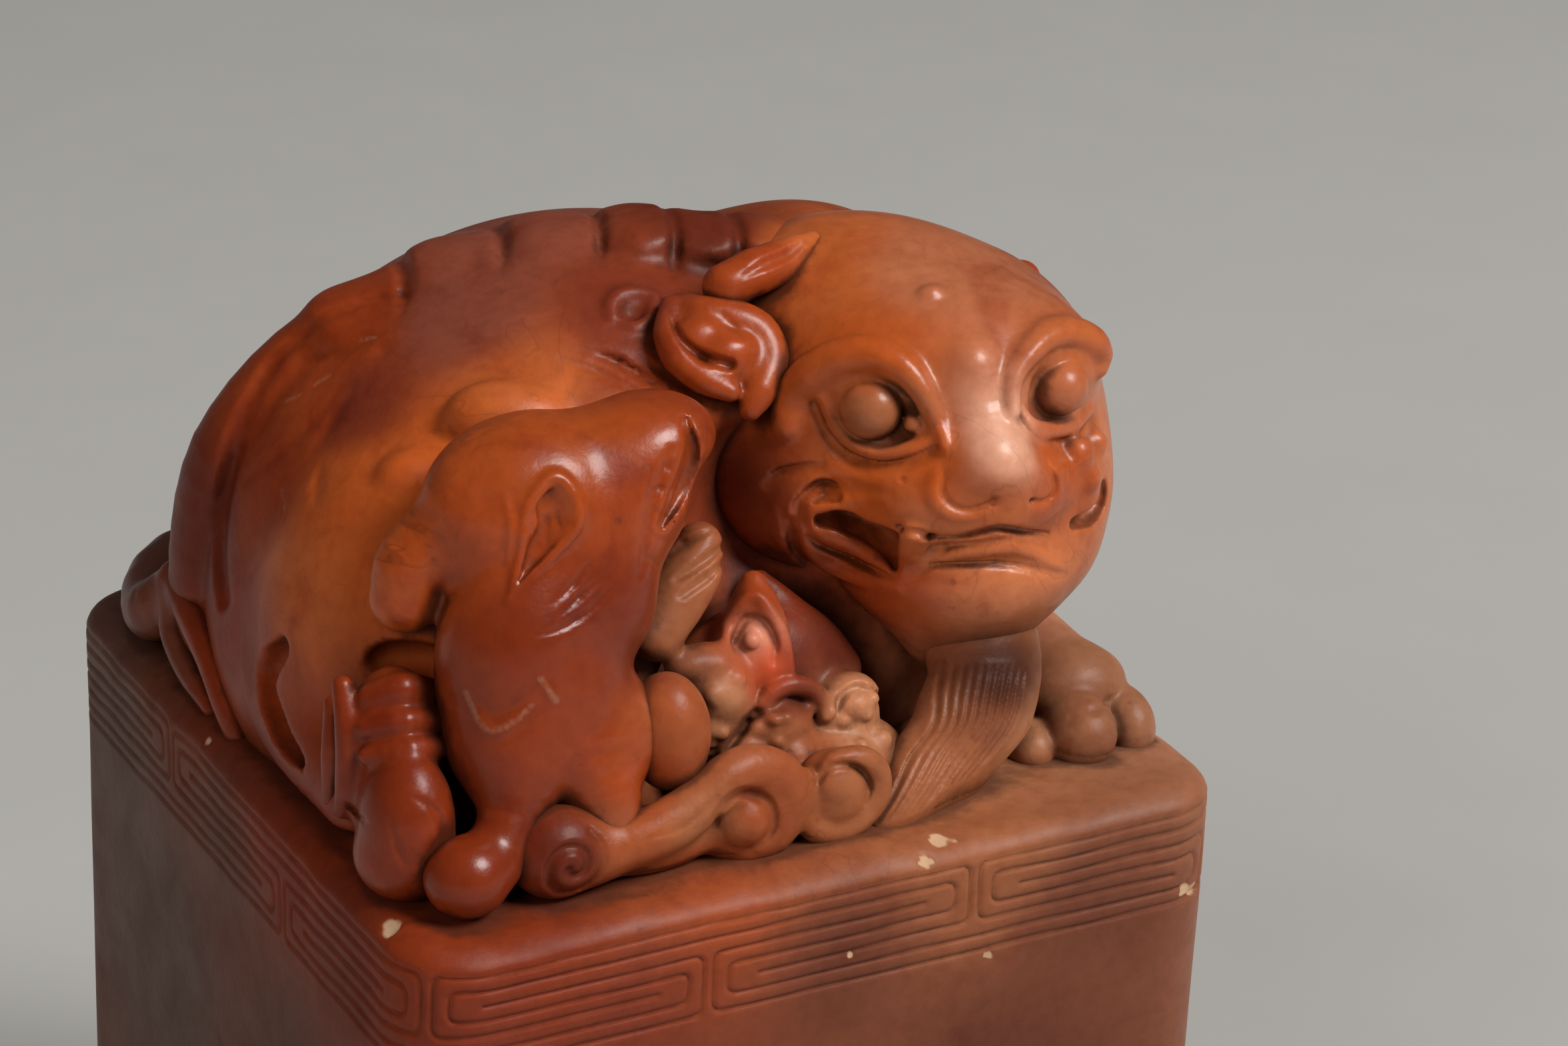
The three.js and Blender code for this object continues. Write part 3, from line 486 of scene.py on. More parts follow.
    # nostrils
    for wing in (left_wing, right_wing):
        groove(wing, [0.16, 0.2, 0.22, 0.22, 0.22], [0.06, 0.12, 0.15, 0.16, 0.16])
    for rim in (left_rim, right_rim):
        groove(rim, [0.35, 0.5, 0.45, 0.35], [-0.08, -0.16, -0.12, -0.05])
    for across, up in ((0.75, 0.25), (2.6, 0.1)):
        c.cut(Mass(on(across, up, 0.05), (0.16, 0.22, 0.11), turn), 0.1)
    # mouth
    c.cut(Limb(gape, [0.4, 0.58, 0.62, 0.8, 1.0], [0.9, 1.5, 1.8, 1.9, 1.8], HEAD_OUT), 0.12)
    c.cut(Limb(curl_eye, [0.2, 0.34, 0.2], [0.4, 0.7, 0.4], HEAD_OUT), 0.1)
    groove(gape_curl, 0.34, [0.1, 0.3, 0.35, 0.3, 0.25, 0.1])
    c.cut(Limb(slit, [0.1, 0.18, 0.22, 0.22, 0.2, 0.08], [0.2, 0.36, 0.4, 0.4, 0.35, 0.15], HEAD_OUT), 0.14)
    groove(lip_corner, [0.3, 0.45, 0.3], [0.08, 0.2, 0.08])
    c.cut(Limb(right_gape, [0.3, 0.42, 0.42, 0.25], [0.6, 0.8, 0.8, 0.5], HEAD_OUT), 0.2)
    c.add(Limb(lower_lip, [0.12, 0.36, 0.48, 0.5, 0.46, 0.3, 0.12], [0.3, 0.5, 0.6, 0.6, 0.55, 0.4, 0.2],
               HEAD_OUT), 0.15)
    c.add(Limb(side_lip, [0.15, 0.35, 0.42, 0.4, 0.2]), 0.3)
    c.add(Limb(gum, [0.22, 0.36, 0.38, 0.34, 0.22]), 0.12)
    groove(gum_slit, 0.24, [0.1, 0.35, 0.35, 0.3, 0.15])
    groove(chin_crease, 0.24, [0.05, 0.16, 0.2, 0.22, 0.22, 0.2, 0.16, 0.05])
    groove(side_crease, 0.34, [0.15, 0.3, 0.3, 0.1])
    groove(cheek_fold, [0.25, 0.35, 0.25], [-0.06, -0.18, -0.06])
    groove(cheek_crease, 0.32, [0.1, 0.3, 0.3, 0.1])
    groove(smile, [0.3, 0.5, 0.2], [0.05, 0.16, 0.04])
    c.add(Limb(fang, [0.78, 0.62, 0.2], [0.6, 0.55, 0.2], HEAD_OUT), 0.12)
    groove(lip_over_fang, 0.26, [0.15, 0.3, 0.3])
    return c


def carve_left_ear(step=0.13):
    """The ear laid back: a tongue that turns down at its tip, and a rim below it."""
    c = Carving((-4, -12, 14), (7, -1, 23.5), step)
    c.add(Limb([(-0.4, -4.6, 19.8), (-0.2, -5.7, 19.9), (0.8, -6.3, 19.8), (1.8, -6.9, 19.3),
                (2.0, -7.7, 18.4), (1.2, -8.5, 17.4), (0.6, -8.9, 16.7)],
               [0.8, 0.95, 1.0, 1.0, 0.95, 0.85, 0.5], [1.0, 0.95, 0.9, 0.9, 0.9, 0.8, 0.5], FRONT_LEFT))
    c.add(Mass((-0.6, -6.6, 18.8), (1.8, 1.15, 1.6)), 0.5)
    c.add(Limb([(-1.3, -4.9, 20.3), (-2.0, -6.0, 19.5), (-1.9, -7.0, 18.7), (-1.2, -7.9, 18.0),
                (-0.2, -8.5, 17.5)], [0.45, 0.6, 0.7, 0.65, 0.45]), 0.35)
    c.add(Mass((0.2, -7.7, 18.7), (1.35, 0.85, 1.1)), 0.5)
    c.stroke([(-2.0, -6.0, 20.6), (-1.8, -6.8, 19.6), (-1.1, -7.5, 18.9), (-0.1, -8.2, 18.6)],
             [0.15, 0.26, 0.34, 0.36], [0.08, 0.24, 0.34, 0.42])
    c.stroke([(-0.9, -5.9, 20.3), (0.3, -6.5, 20.0), (1.0, -7.2, 19.3)], [0.3, 0.5, 0.3],
             [0.04, 0.12, 0.04])
    return c


def carve_brow_curl(step=0.13):
    """The curl over the left ear: a broad leaf with a rolled lower lobe."""
    c = Carving((-1, -9, 18), (9, 0, 24), step)
    c.add(Limb([(1.1, -5.3, 21.1), (2.4, -5.3, 21.4), (3.8, -4.9, 21.5), (4.9, -4.6, 21.8),
                (5.9, -4.3, 22.1)], [0.85, 1.05, 1.0, 0.75, 0.4], [1.1, 1.15, 1.05, 0.8, 0.4], FRONT_LEFT))
    c.add(Mass((1.2, -5.4, 20.9), (1.0, 0.95, 0.85)), 0.5)
    c.stroke([(1.9, -5.6, 21.4), (3.0, -5.4, 21.7), (4.3, -5.1, 21.9), (5.4, -4.7, 22.3)],
             [0.2, 0.35, 0.35, 0.15], [0.08, 0.22, 0.2, 0.05])
    return c


def carve_right_ear(step=0.16):
    c = Carving((8, -14, 14), (20.3, 0, 25), step)
    c.add(Limb([on_head((5.5, -5.2, 4.8)), on_head((6.2, -5.2, 2.8)), on_head((6.4, -4.2, 0.9))],
               [0.9, 1.2, 0.9]))
    return c


def carve_beard(step=0.09):
    """The beard sweeps left to the block, with fine hairs cut down its left side."""
    c = Carving((0, -19, -1), (16, -8, 10), step)
    c.add(Limb([on_head((0.9, 5, -5.6)), (10.2, -13.7, 5.0), (9.7, -14.1, 3.2)], [2.75, 2.7, 2.7],
               [1.9, 1.85, 1.7], (0, -1, 0.2)))
    c.masses(((7.7, -15.0, 1.6), (4.2, 1.75, 2.3), 1.4, (0, -38, 0)),
             ((5.0, -16.2, 0.6), (2.3, 1.1, 1.25), 1.2, (0, -30, 10)))
    first = [(7.5, -15.2, 5.9), (7.1, -15.2, 4.5), (6.6, -15.4, 3.3), (5.3, -15.8, 2.2), (4.1, -16.3, 1.0),
             (3.2, -16.9, 0.2)]
    last = [(11.3, -15.2, 5.4), (10.9, -15.2, 4.4), (10.4, -15.4, 3.2), (9.3, -15.8, 2.1),
            (7.9, -16.2, 1.1), (6.8, -16.8, 0.6)]
    for share in np.linspace(0, 1, 10):
        hair = [np.array(a) + (np.array(b) - a) * share for a, b in zip(first, last)]
        hair = smooth_path(hair[:6 if share < 0.6 else 5], 14)
        c.stroke(hair, [0.1, 0.17, 0.2, 0.2, 0.19, 0.12], [0.03, 0.1, 0.17, 0.18, 0.16, 0.06],
                 (-0.25, -0.95, 0.2))
    c.floor(-0.3)
    return c


def carve_foreleg(step=0.15):
    c = Carving((8, -17.5, -1), (20.4, -2, 9), step)
    c.add(Limb([(13, -4, 4.5), (15, -8, 2.8), (16, -11, 2.0)], [2.8, 2.3, 2.0]))
    c.masses(((16.1, -11.9, 1.9), (2.6, 2.0, 1.9), 0.5), ((15.2, -13.9, 0.8), (1.65, 2.1, 1.75), 0.35),
             ((17.9, -13.2, 0.3), (1.45, 2.1, 1.8), 0.25), ((13.0, -13.2, 0.2), (1.2, 1.6, 1.2), 0.3))
    c.stroke([(14.3, -15, 2.6), (15.2, -15.2, 2.3), (16.3, -15, 2.6)], [0.15, 0.25, 0.15],
             [0.05, 0.15, 0.05])
    c.floor(-0.3)
    return c


def carve_cub(step=0.15):
    """The standing cub: its head thrown back, a leaf-shaped ear, a hair strip, arms and legs."""
    c = Carving((-20.2, -19.6, -1), (-1, -6, 21), step)
    c.masses(((-10.4, -11, 14.8), (5.2, 3.7, 4.2), 0.3, (0, 12, 0)),
             ((-5.9, -11.4, 17.3), (3.2, 2.6, 2.0), 1.4, (0, -5, 0)),
             ((-7.0, -12, 14.9), (2.7, 2.6, 3.1), 1.2, (0, 22, 0)),
             ((-9.2, -12.8, 11.4), (3.2, 2.8, 3.6), 1.2),
             ((-12.3, -13, 9.2), (3.4, 3.2, 5.2), 1.2, (0, 4, 0)),
             ((-10.8, -13.8, 7.4), (3.3, 2.7, 3.4), 1.0), ((-12.6, -14.0, 5.9), (3.0, 2.6, 2.8), 1.0),
             ((-8.6, -14.7, 5.8), (2.4, 2.0, 2.4), 0.9))
    c.add(Limb([(-13.6, -10.6, 14.3), (-15.5, -10.2, 13.1), (-16.0, -10.1, 11.5)], [2.0, 1.65, 1.5]), 0.7)
    c.add(Limb([(-12.6, -14.3, 5.4), (-13.7, -15.6, 3.6), (-14.6, -16.3, 2.1)], [2.1, 1.3, 1.25]), 0.8)
    c.add(Mass((-16.1, -16.7, 1.7), (1.85, 1.7, 1.75)), 0.7)
    c.add(Limb([(-9.8, -14.6, 5.4), (-9.5, -15.8, 3.5), (-9.3, -16.5, 2.3)], [2.2, 1.6, 1.0]), 0.6)
    hollow = c.seat([(-11.3, -13.7, 16.6), (-11.2, -14.2, 15.6), (-12.0, -14.4, 14.6),
                     (-13.2, -14.9, 13.4)])
    rim = c.seat([(-12.6, -14.0, 15.2), (-12.2, -13.8, 16.4), (-11.0, -13.5, 17.3), (-10.3, -13.9, 16.7),
                  (-10.2, -14.3, 15.6), (-10.8, -14.5, 14.9), (-12.4, -14.7, 13.8), (-13.7, -15.0, 12.9)])
    back_rim = c.seat([(-13.6, -15.0, 13.0), (-13.0, -14.5, 14.3), (-12.5, -14.0, 15.4)])
    fold = c.seat([(-13.1, -13.4, 16.9), (-13.1, -14.0, 15.7), (-13.4, -14.4, 14.1)])
    c.cut(Limb(hollow, [0.55, 0.75, 0.5, 0.12], [0.35, 0.4, 0.3, 0.1], FRONT_LEFT), 0.15)
    c.add(Limb(rim, [0.16, 0.26, 0.32, 0.32, 0.26, 0.2, 0.15, 0.1]), 0.2)
    c.add(Limb(back_rim, [0.1, 0.2, 0.22]), 0.15)
    c.incise(fold, [0.15, 0.25, 0.15], [-0.05, -0.14, -0.05], FRONT_LEFT)
    for hair in ([(-11.5, -14, 15.9), (-11.6, -14.2, 15.0)], [(-11.1, -14, 16.0), (-11.0, -14.2, 15.3)]):
        c.stroke(hair, [0.12, 0.12], [0.12, 0.06])
    for hair in ([(-9.0, -14.0, 12.6), (-10.1, -14.5, 12.3), (-11.2, -14.9, 11.8)],
                 [(-9.4, -14.0, 13.5), (-10.4, -14.5, 12.9), (-11.5, -14.8, 12.3)],
                 [(-8.4, -14, 12.2), (-9.6, -14.4, 11.5), (-11.4, -15, 11.2), (-12.8, -15.6, 11.5)]):
        c.stroke(hair, [0.12, 0.2, 0.12], [0.05, 0.14, 0.05])
    c.stroke([(-5.4, -13.2, 17.5), (-6.3, -13.7, 16.3), (-6.9, -14.0, 14.8), (-7.2, -14.2, 12.6)],
             [0.2, 0.34, 0.34, 0.2], [0.08, 0.18, 0.2, 0.08])
    c.stroke([(-3.9, -11.5, 17.9), (-3.5, -11.5, 16.4), (-4.0, -11.5, 14.7), (-4.8, -11.5, 13.3)],
             [0.22, 0.38, 0.4, 0.25], [0.2, 0.6, 0.65, 0.3])
    top, bottom = np.array((-5.9, -13.4, 16.9)), np.array((-6.9, -14.1, 13.1))
    for share in np.linspace(0, 1, 5):
        p = top + (bottom - top) * share
        c.stroke([p + (0.05, 0, 0.1), p + (0.6, 0.25, -0.35)], [0.2, 0.2], [0.08, 0.05])
    c.stroke([(-15.7, -15.3, 9.3), (-15.3, -15.6, 8.3), (-14.8, -15.8, 7.7), (-13.9, -16.1, 8.0),
              (-12.9, -16.3, 9.0)], [0.2, 0.36, 0.4, 0.36, 0.2], [-0.03, -0.09, -0.12, -0.09, -0.03],
             pale=0.35)
    c.stroke([(-12.7, -16.2, 9.8), (-12.2, -16.1, 9.0), (-11.9, -16.1, 8.6)], [0.2, 0.36, 0.2],
             [-0.03, -0.1, -0.03], pale=0.32)
    c.floor(-0.3)
    return c


def carve_cub_knee(step=0.15):
    c = Carving((-10, -19, 2), (-3.5, -12, 10), step)
    c.add(Mass((-6.3, -15.3, 5.7), (1.8, 1.9, 2.65), (0, -4, 0)))
    return c


BALL_GROOVE = [(-5.4, -18.0, 2.3), (-5.1, -18.0, 3.2), (-4.0, -17.8, 3.5), (-2.7, -17.6, 2.7),
               (-2.5, -17.8, 1.6), (-3.2, -18.0, 0.9)]
SCROLL_GROOVE = [(-0.1, -17.4, 3.0), (0.6, -17.2, 3.5), (1.7, -17.2, 3.3), (2.4, -17.3, 2.4),
                 (2.2, -17.5, 1.6)]


def carve_clouds(step=0.12):
    """The swirl, the ribbon and the two scrolls along the front foot."""
    c = Carving((-15, -19.7, -1), (5, -13, 6.5), step)
    c.masses(((-12.0, -16.6, 1.9), (2.15, 1.7, 2.0), 0.3), ((-10.2, -16.4, 1.7), (1.6, 1.5, 1.6), 0.8))
    turns = np.linspace(0, 3.2 * np.pi, 24)
    radius = np.linspace(1.6, 0.25, 24)
    whorl = [(-12.0 + r * np.cos(0.9 - a), -18.3, 1.95 + r * np.sin(0.9 - a))
             for a, r in zip(turns, radius)]
    c.stroke(whorl, [0.22, 0.3, 0.28], [0.12, 0.24, 0.2], (0, -1, 0.1))
    ribbon = [(-10.6, -16.9, 1.5), (-8.8, -17.2, 2.0), (-6.9, -17.2, 2.5), (-5.4, -17.1, 3.2),
              (-4.3, -17, 3.9), (-3.1, -16.9, 4.1), (-1.9, -16.9, 3.6), (-1.2, -16.9, 2.7),
              (-1.1, -16.9, 1.6), (-1.9, -16.9, 0.6), (-3.2, -16.9, 0.2)]
    c.add(Mass((-3.0, -16.4, 1.9), (2.5, 1.35, 2.4)))
    c.add(Limb(ribbon, [0.8, 1.1, 1.15, 1.05, 1.05, 1.0, 0.95, 0.9, 0.8, 0.7, 0.4],
               [0.8, 0.95, 0.95, 0.95, 0.95, 0.9, 0.85, 0.8, 0.7, 0.6, 0.4], (0, -1, 0.3)), 0.6)
    c.masses(((-7.4, -16.0, 1.2), (3.4, 1.5, 1.4), 0.6), ((-3.5, -17.2, 1.85), (1.15, 0.95, 1.15), 0.25))
    c.stroke(BALL_GROOVE, [0.2, 0.34, 0.36, 0.34, 0.2], [0.08, 0.22, 0.26, 0.22, 0.08])
    c.stroke([(-8.6, -18.2, 2.5), (-6.9, -18.2, 2.7), (-5.6, -18.1, 3.5), (-4.4, -18, 4.3)],
             [0.12, 0.2, 0.12], [0.04, 0.12, 0.04], (-0.2, -0.9, 0.3))
    scroll = [(-0.5, -16.7, 2.9), (-0.5, -16.8, 1.3), (0.5, -16.8, 0.3), (1.9, -16.8, 0.3),
              (3.0, -16.8, 1.2), (3.1, -16.8, 2.5), (2.2, -16.8, 3.4), (0.9, -16.8, 3.4), (0.5, -16.9, 2.7)]
    c.add(Mass((1.3, -16.2, 1.8), (2.0, 1.35, 1.9)), 0.4)
    c.add(Limb(scroll, [0.5, 0.6, 0.65, 0.65, 0.62, 0.6, 0.55, 0.5, 0.4]), 0.3)
    c.add(Mass((1.1, -16.9, 2.4), (0.9, 0.7, 0.8)), 0.3)
    c.stroke(SCROLL_GROOVE, [0.2, 0.26, 0.26, 0.26, 0.2], [0.1, 0.24, 0.26, 0.24, 0.1])
    c.floor(-0.3)
    return c


def carve_hollow_cub(step=0.12):
    """The small beast in the hollow under the mother's chin: a fist of hair, a ringed pointed ear, a
    brow over its face, and low rocks that run into each other."""
    c = Carving((-7.5, -17.5, -1), (7.5, -7, 13.5), step)
    c.masses(((0.6, -10.4, 3.6), (4.9, 2.6, 4.6), 0.3), ((1.3, -13.0, 1.4), (5.2, 3.2, 2.4), 1.2),
             ((-2.8, -12.6, 5.2), (2.1, 1.6, 2.6), 1.0))
    # the wall behind, which runs down to the right
    c.add(Limb([(0.9, -9.4, 8.7), (1.6, -10.1, 7.8), (2.7, -10.7, 6.4), (4.3, -11.2, 4.6)],
               [0.7, 0.95, 1.05, 1.0], [0.5, 0.6, 0.7, 0.8], FRONT_LEFT), 0.6)
    # the ringed ear and the pearl in it
    c.add(Limb([(-0.3, -11.3, 9.9), (-0.4, -11.7, 9.0), (-0.5, -12.0, 7.9), (-0.7, -12.3, 6.5)],
               [0.5, 1.05, 1.5, 1.7], [0.4, 0.8, 1.0, 1.2], FRONT_LEFT), 0.4)
    outer = c.seat([(-2.5, -12.9, 7.0), (-2.0, -12.4, 8.5), (-1.2, -12.0, 9.2), (-0.4, -11.9, 9.4),
                    (0.3, -12.2, 8.4), (0.7, -12.5, 7.4), (0.8, -12.9, 6.2)])
    inner = [(-2.0, -12.9, 8.0), (-1.3, -12.7, 8.8), (-0.4, -12.7, 8.4), (0.0, -12.9, 7.5),
             (-0.1, -13.1, 6.7)]
    c.add(Limb(outer, [0.2, 0.26, 0.26, 0.24, 0.26, 0.28, 0.22]), 0.35)
    c.stroke(inner, [0.2, 0.3, 0.35, 0.3, 0.2], [0.1, 0.3, 0.32, 0.25, 0.1])
    c.add(Mass(c.place((-1.3, -13.2, 8.0), FRONT_LEFT, 0.02), (0.38, 0.38, 0.38)), 0.1)
    # the fist of hair at the left
    c.add(Limb([(-2.7, -10.9, 11.9), (-3.3, -11.3, 10.9), (-4.4, -11.8, 9.8), (-5.7, -12.3, 8.7)],
               [0.95, 1.35, 1.35, 1.3], [0.9, 1.2, 1.15, 1.0], FRONT_LEFT), 0.4)
    for hair in ([(-1.9, -11.8, 12.2), (-3.1, -12.1, 11.6), (-4.6, -12.4, 11.1)],
                 [(-1.9, -11.8, 11.4), (-3.0, -12.1, 10.8), (-4.3, -12.4, 10.3)],
                 [(-2.7, -11.6, 12.7), (-4.0, -11.9, 12.4), (-4.9, -12.1, 12.1)]):
        c.stroke(hair, [0.15, 0.32, 0.2], [0.08, 0.26, 0.1])
    # brow, face and rocks
    c.masses(((-3.8, -12.9, 7.3), (1.4, 0.9, 0.8), 0.6), ((-2.8, -13.6, 5.9), (0.85, 0.8, 0.95), 0.5),
             ((-0.1, -13.6, 4.0), (1.45, 1.3, 1.25), 0.8))
    c.add(Limb([(-1.0, -13.7, 4.9), (-0.5, -13.7, 5.6), (0.5, -13.7, 5.8), (1.6, -13.7, 5.3),
                (2.2, -13.8, 4.2), (2.1, -14.0, 3.2)], [0.3, 0.42, 0.45, 0.45, 0.42, 0.3]), 0.3)
    c.masses(((0.2, -14.7, 2.9), (0.9, 0.8, 0.7), 0.5), ((3.7, -13.2, 3.9), (1.5, 1.2, 1.6), 0.7),
             ((-2.0, -14.2, 3.0), (1.0, 0.9, 1.1), 0.6))
    c.stroke([(2.5, -14.0, 4.0), (2.9, -13.9, 4.8), (3.8, -13.9, 5.1), (4.8, -13.9, 4.3),
              (5.0, -14.0, 3.2)], [0.15, 0.3, 0.3, 0.3, 0.15], [0.08, 0.24, 0.26, 0.24, 0.08])
    c.stroke([(-1.0, -14.2, 5.4), (-2.1, -14.6, 4.9), (-3.3, -15.0, 3.9)], [0.2, 0.35, 0.2],
             [0.15, 0.4, 0.15])
    for x, z, size in ((-3.5, 6.2, 0.42), (-2.3, 6.7, 0.4), (-3.4, 4.5, 0.5), (-1.4, 4.3, 0.4),
                       (1.2, 4.5, 0.35), (3.5, 4.4, 0.6), (4.6, 2.7, 0.5)):
        boss = c.place((x, -12, z), (0, -1, 0), -size * 0.4)
        c.add(Mass(boss, (size, size * 0.8, size * 0.9)), 0.35)
    rng = np.random.default_rng(5)
    for _ in range(26):
        size = rng.uniform(0.22, 0.36)
        knob = c.place((rng.uniform(-4.0, 4.4), -12, rng.uniform(2.2, 5.4)), (0, -1, 0), -size * 0.35)
        c.add(Mass(knob, (size, size, size * 0.9)), 0.2)
    c.floor(-0.3)
    return c


def carve_hind_foot(step=0.14):
    """The mother's hind paw with two rolled folds above it and the ridge of the shank beside it."""
    c = Carving((-20.3, -17, -1), (-13, -8.5, 10.5), step)
    c.masses(((-17.5, -13.8, 3.1), (1.95, 2.25, 3.2), 0.3), ((-17.5, -13.4, 1.4), (2.0, 2.2, 1.7), 0.8),
             ((-16.9, -11.0, 4.6), (2.2, 2.2, 4.2), 1.0), ((-17.0, -11.6, 6.6), (1.8, 1.2, 1.9), 0.6))
    c.add(Limb([(-18.8, -12.6, 5.9), (-17.3, -13.5, 6.3), (-15.4, -13.0, 5.8)], [0.35, 0.6, 0.4]), 0.4)
    c.add(Limb([(-18.7, -12.1, 6.9), (-17.2, -12.9, 7.3), (-15.2, -12.4, 6.7)], [0.35, 0.55, 0.35]), 0.4)
    c.add(Limb([(-18.2, -11.5, 8.0), (-17, -12.1, 8.4), (-15.4, -11.6, 7.8)], [0.45, 0.65, 0.45]), 0.4)
    for rise in (0, 0.25):
        c.stroke([(-19.2, -8.6, 4.9 - rise * 3), (-19.1, -10.0, 3.6 - rise), (-18.9, -11.3, 2.9),
                  (-18.6, -12.6, 2.9)], [0.15, 0.24, 0.15], [0.05, 0.16, 0.05])
    c.add(Limb([(-19.0, -10.6, 8.2), (-19.1, -11.4, 6.4), (-19.1, -11.4, 4.2), (-18.9, -10.4, 2.4)],
               [0.45, 0.55, 0.55, 0.4]), 0.35)
    c.add(Limb([(-18.9, -9.4, 6.8), (-19.1, -9.8, 4.6), (-18.9, -9.2, 2.4)], [0.4, 0.5, 0.4]), 0.3)
    c.stroke([(-18.0, -15.6, 5.2), (-17.3, -16.0, 4.6), (-17.0, -16.2, 3.4), (-17.2, -16.2, 2.4)],
             [0.12, 0.25, 0.22, 0.1], [0.05, 0.18, 0.15, 0.04])
    c.stroke([(-18.9, -15.2, 4.0), (-18.7, -15.6, 3.0), (-18.5, -15.8, 2.2)], [0.12, 0.22, 0.12],
             [0.04, 0.14, 0.04])
    c.stroke([(-16.6, -15.6, 5.0), (-16.0, -15.4, 4.2), (-15.9, -15.2, 3.0)], [0.12, 0.22, 0.12],
             [0.04, 0.12, 0.04])
    c.floor(-0.3)
    return c


# The block, with its fret band, as rings of points from the top's middle to the foot's.
PERIMETER = 4 * (BLOCK_SIDE - 2 * CORNER_RADIUS) + 2 * np.pi * CORNER_RADIUS
FRET_PITCH = PERIMETER / 12
FINE = 1260
COARSE = FINE // 5
FLAT_INSET, RIM_IN, RIM_DOWN = 3.2, 1.6, 1.1
BAND_END, BAND_STEP = -5.8, 0.12
FOOT = 0.5
FACE_SUNK = 0.8
FIELD_HALF = 17.0
BAR_WIDTH, BAR_GAP, BAR_BITE = 1.5, 1.7, 0.1
GROOVE_WIDTH = GROOVE_DEPTH = 0.17
GROOVE_GRIME = 0.42
FRET_LEVELS = (-1.1, -1.8, -2.55, -3.25, -3.95, -4.7, -5.4)


def waviness(p, size, seed):
    """Smooth unevenness from -1 to 1, with humps about size across, the same on each run."""
    rng = np.random.default_rng(seed)
    total = np.zeros(len(p))
    for _ in range(9):
        way = unit(rng.normal(size=3)) * 2 * np.pi / (size * rng.uniform(0.8, 2.2))
        total += np.sin(p @ way + rng.uniform(0, 2 * np.pi))
    return total / 4.5


def outline(run):
    """Points of the block's rounded square outline and the way each faces, from the front left corner."""
    quarter = PERIMETER / 4
    half_arc = CORNER_RADIUS * np.pi / 4
    side = np.floor(run / quarter)
    t = run - side * quarter
    flat = BLOCK_SIDE / 2 - CORNER_RADIUS
    turn = np.where(t < half_arc, -np.pi / 4 + t / CORNER_RADIUS, 0.0)
    late = t > quarter - half_arc
    turn = np.where(late, (t - quarter + half_arc) / CORNER_RADIUS, turn)
    middle = np.clip(t - half_arc, 0, 2 * flat) - flat
    facing = np.stack([np.sin(turn), -np.cos(turn)], 1)
    point = np.stack([middle, np.full(len(run), -flat)], 1) + facing * CORNER_RADIUS
    a = side * np.pi / 2
    spin = np.stack([np.stack([np.cos(a), -np.sin(a)], 1), np.stack([np.sin(a), np.cos(a)], 1)], 1)
    return np.einsum("nij,nj->ni", spin, point), np.einsum("nij,nj->ni", spin, facing)


def block_rings():
    """Each ring: points, run along the outline, and the way the side faces there."""
    rings = []

    def ring(count, inset, z, shrink=1.0, square=0.0):
        run = np.arange(count) * PERIMETER / count
        flat, facing = outline(run)
        p = (flat - facing * inset) * shrink
        if square:
            corner = np.abs(flat).max(1, keepdims=True)
            p = flat / corner * square
        at = np.column_stack([p, np.full(count, z)])
        rings.append((at, run, np.column_stack([facing, np.zeros(count)])))

    for share in (0.06, 0.2, 0.35, 0.5, 0.65, 0.78, 0.88, 0.95):
        ring(COARSE, FLAT_INSET, 0, share)
    for inset in np.linspace(FLAT_INSET, RIM_IN, 11)[:-1]:
        ring(FINE, inset, 0)
    for a in np.radians(np.linspace(0, 90, 10)):
        ring(FINE, RIM_IN * (1 - np.sin(a)), -RIM_DOWN * (1 - np.cos(a)))
    for z in np.arange(-RIM_DOWN - BAND_STEP, BAND_END, -BAND_STEP):
        ring(FINE, 0, z)
    for z in (-6.1, -6.8, -8, -9.6, -11.5, -13.6, -16, -18.5, -21, -23.5, -26, -28.5, -31, -33.5, -36,
              -38.5, -41, -43.2, -45.2):
        ring(COARSE, 0, z)
    for a in np.radians((0, 25, 50, 72, 90)):
        ring(COARSE, FOOT * (1 - np.cos(a)), -BLOCK_HEIGHT + FOOT * (1 - np.sin(a)))
    ring(COARSE, 0, -BLOCK_HEIGHT, square=FIELD_HALF)
    ring(COARSE, 0, -BLOCK_HEIGHT + FACE_SUNK, square=FIELD_HALF)
    for half in (12.0, 7.0, 2.0):
        ring(COARSE, 0, -BLOCK_HEIGHT + FACE_SUNK, square=half)
    return rings


def chip(points, facing, marks, centre, size, depth, seed):
    """A shallow flake knocked out of the edge, pale inside."""
    away = points - np.asarray(centre, float)
    rough = 1 + 0.45 * waviness(points, 0.9, seed)
    near = np.clip(1 - (np.linalg.norm(away / np.asarray(size, float), axis=1) * rough) ** 2, 0, 1)
    points -= facing * (depth * near ** 0.6)[:, None]
    np.maximum(marks, np.clip(near * 2.2, 0, 1), out=marks)


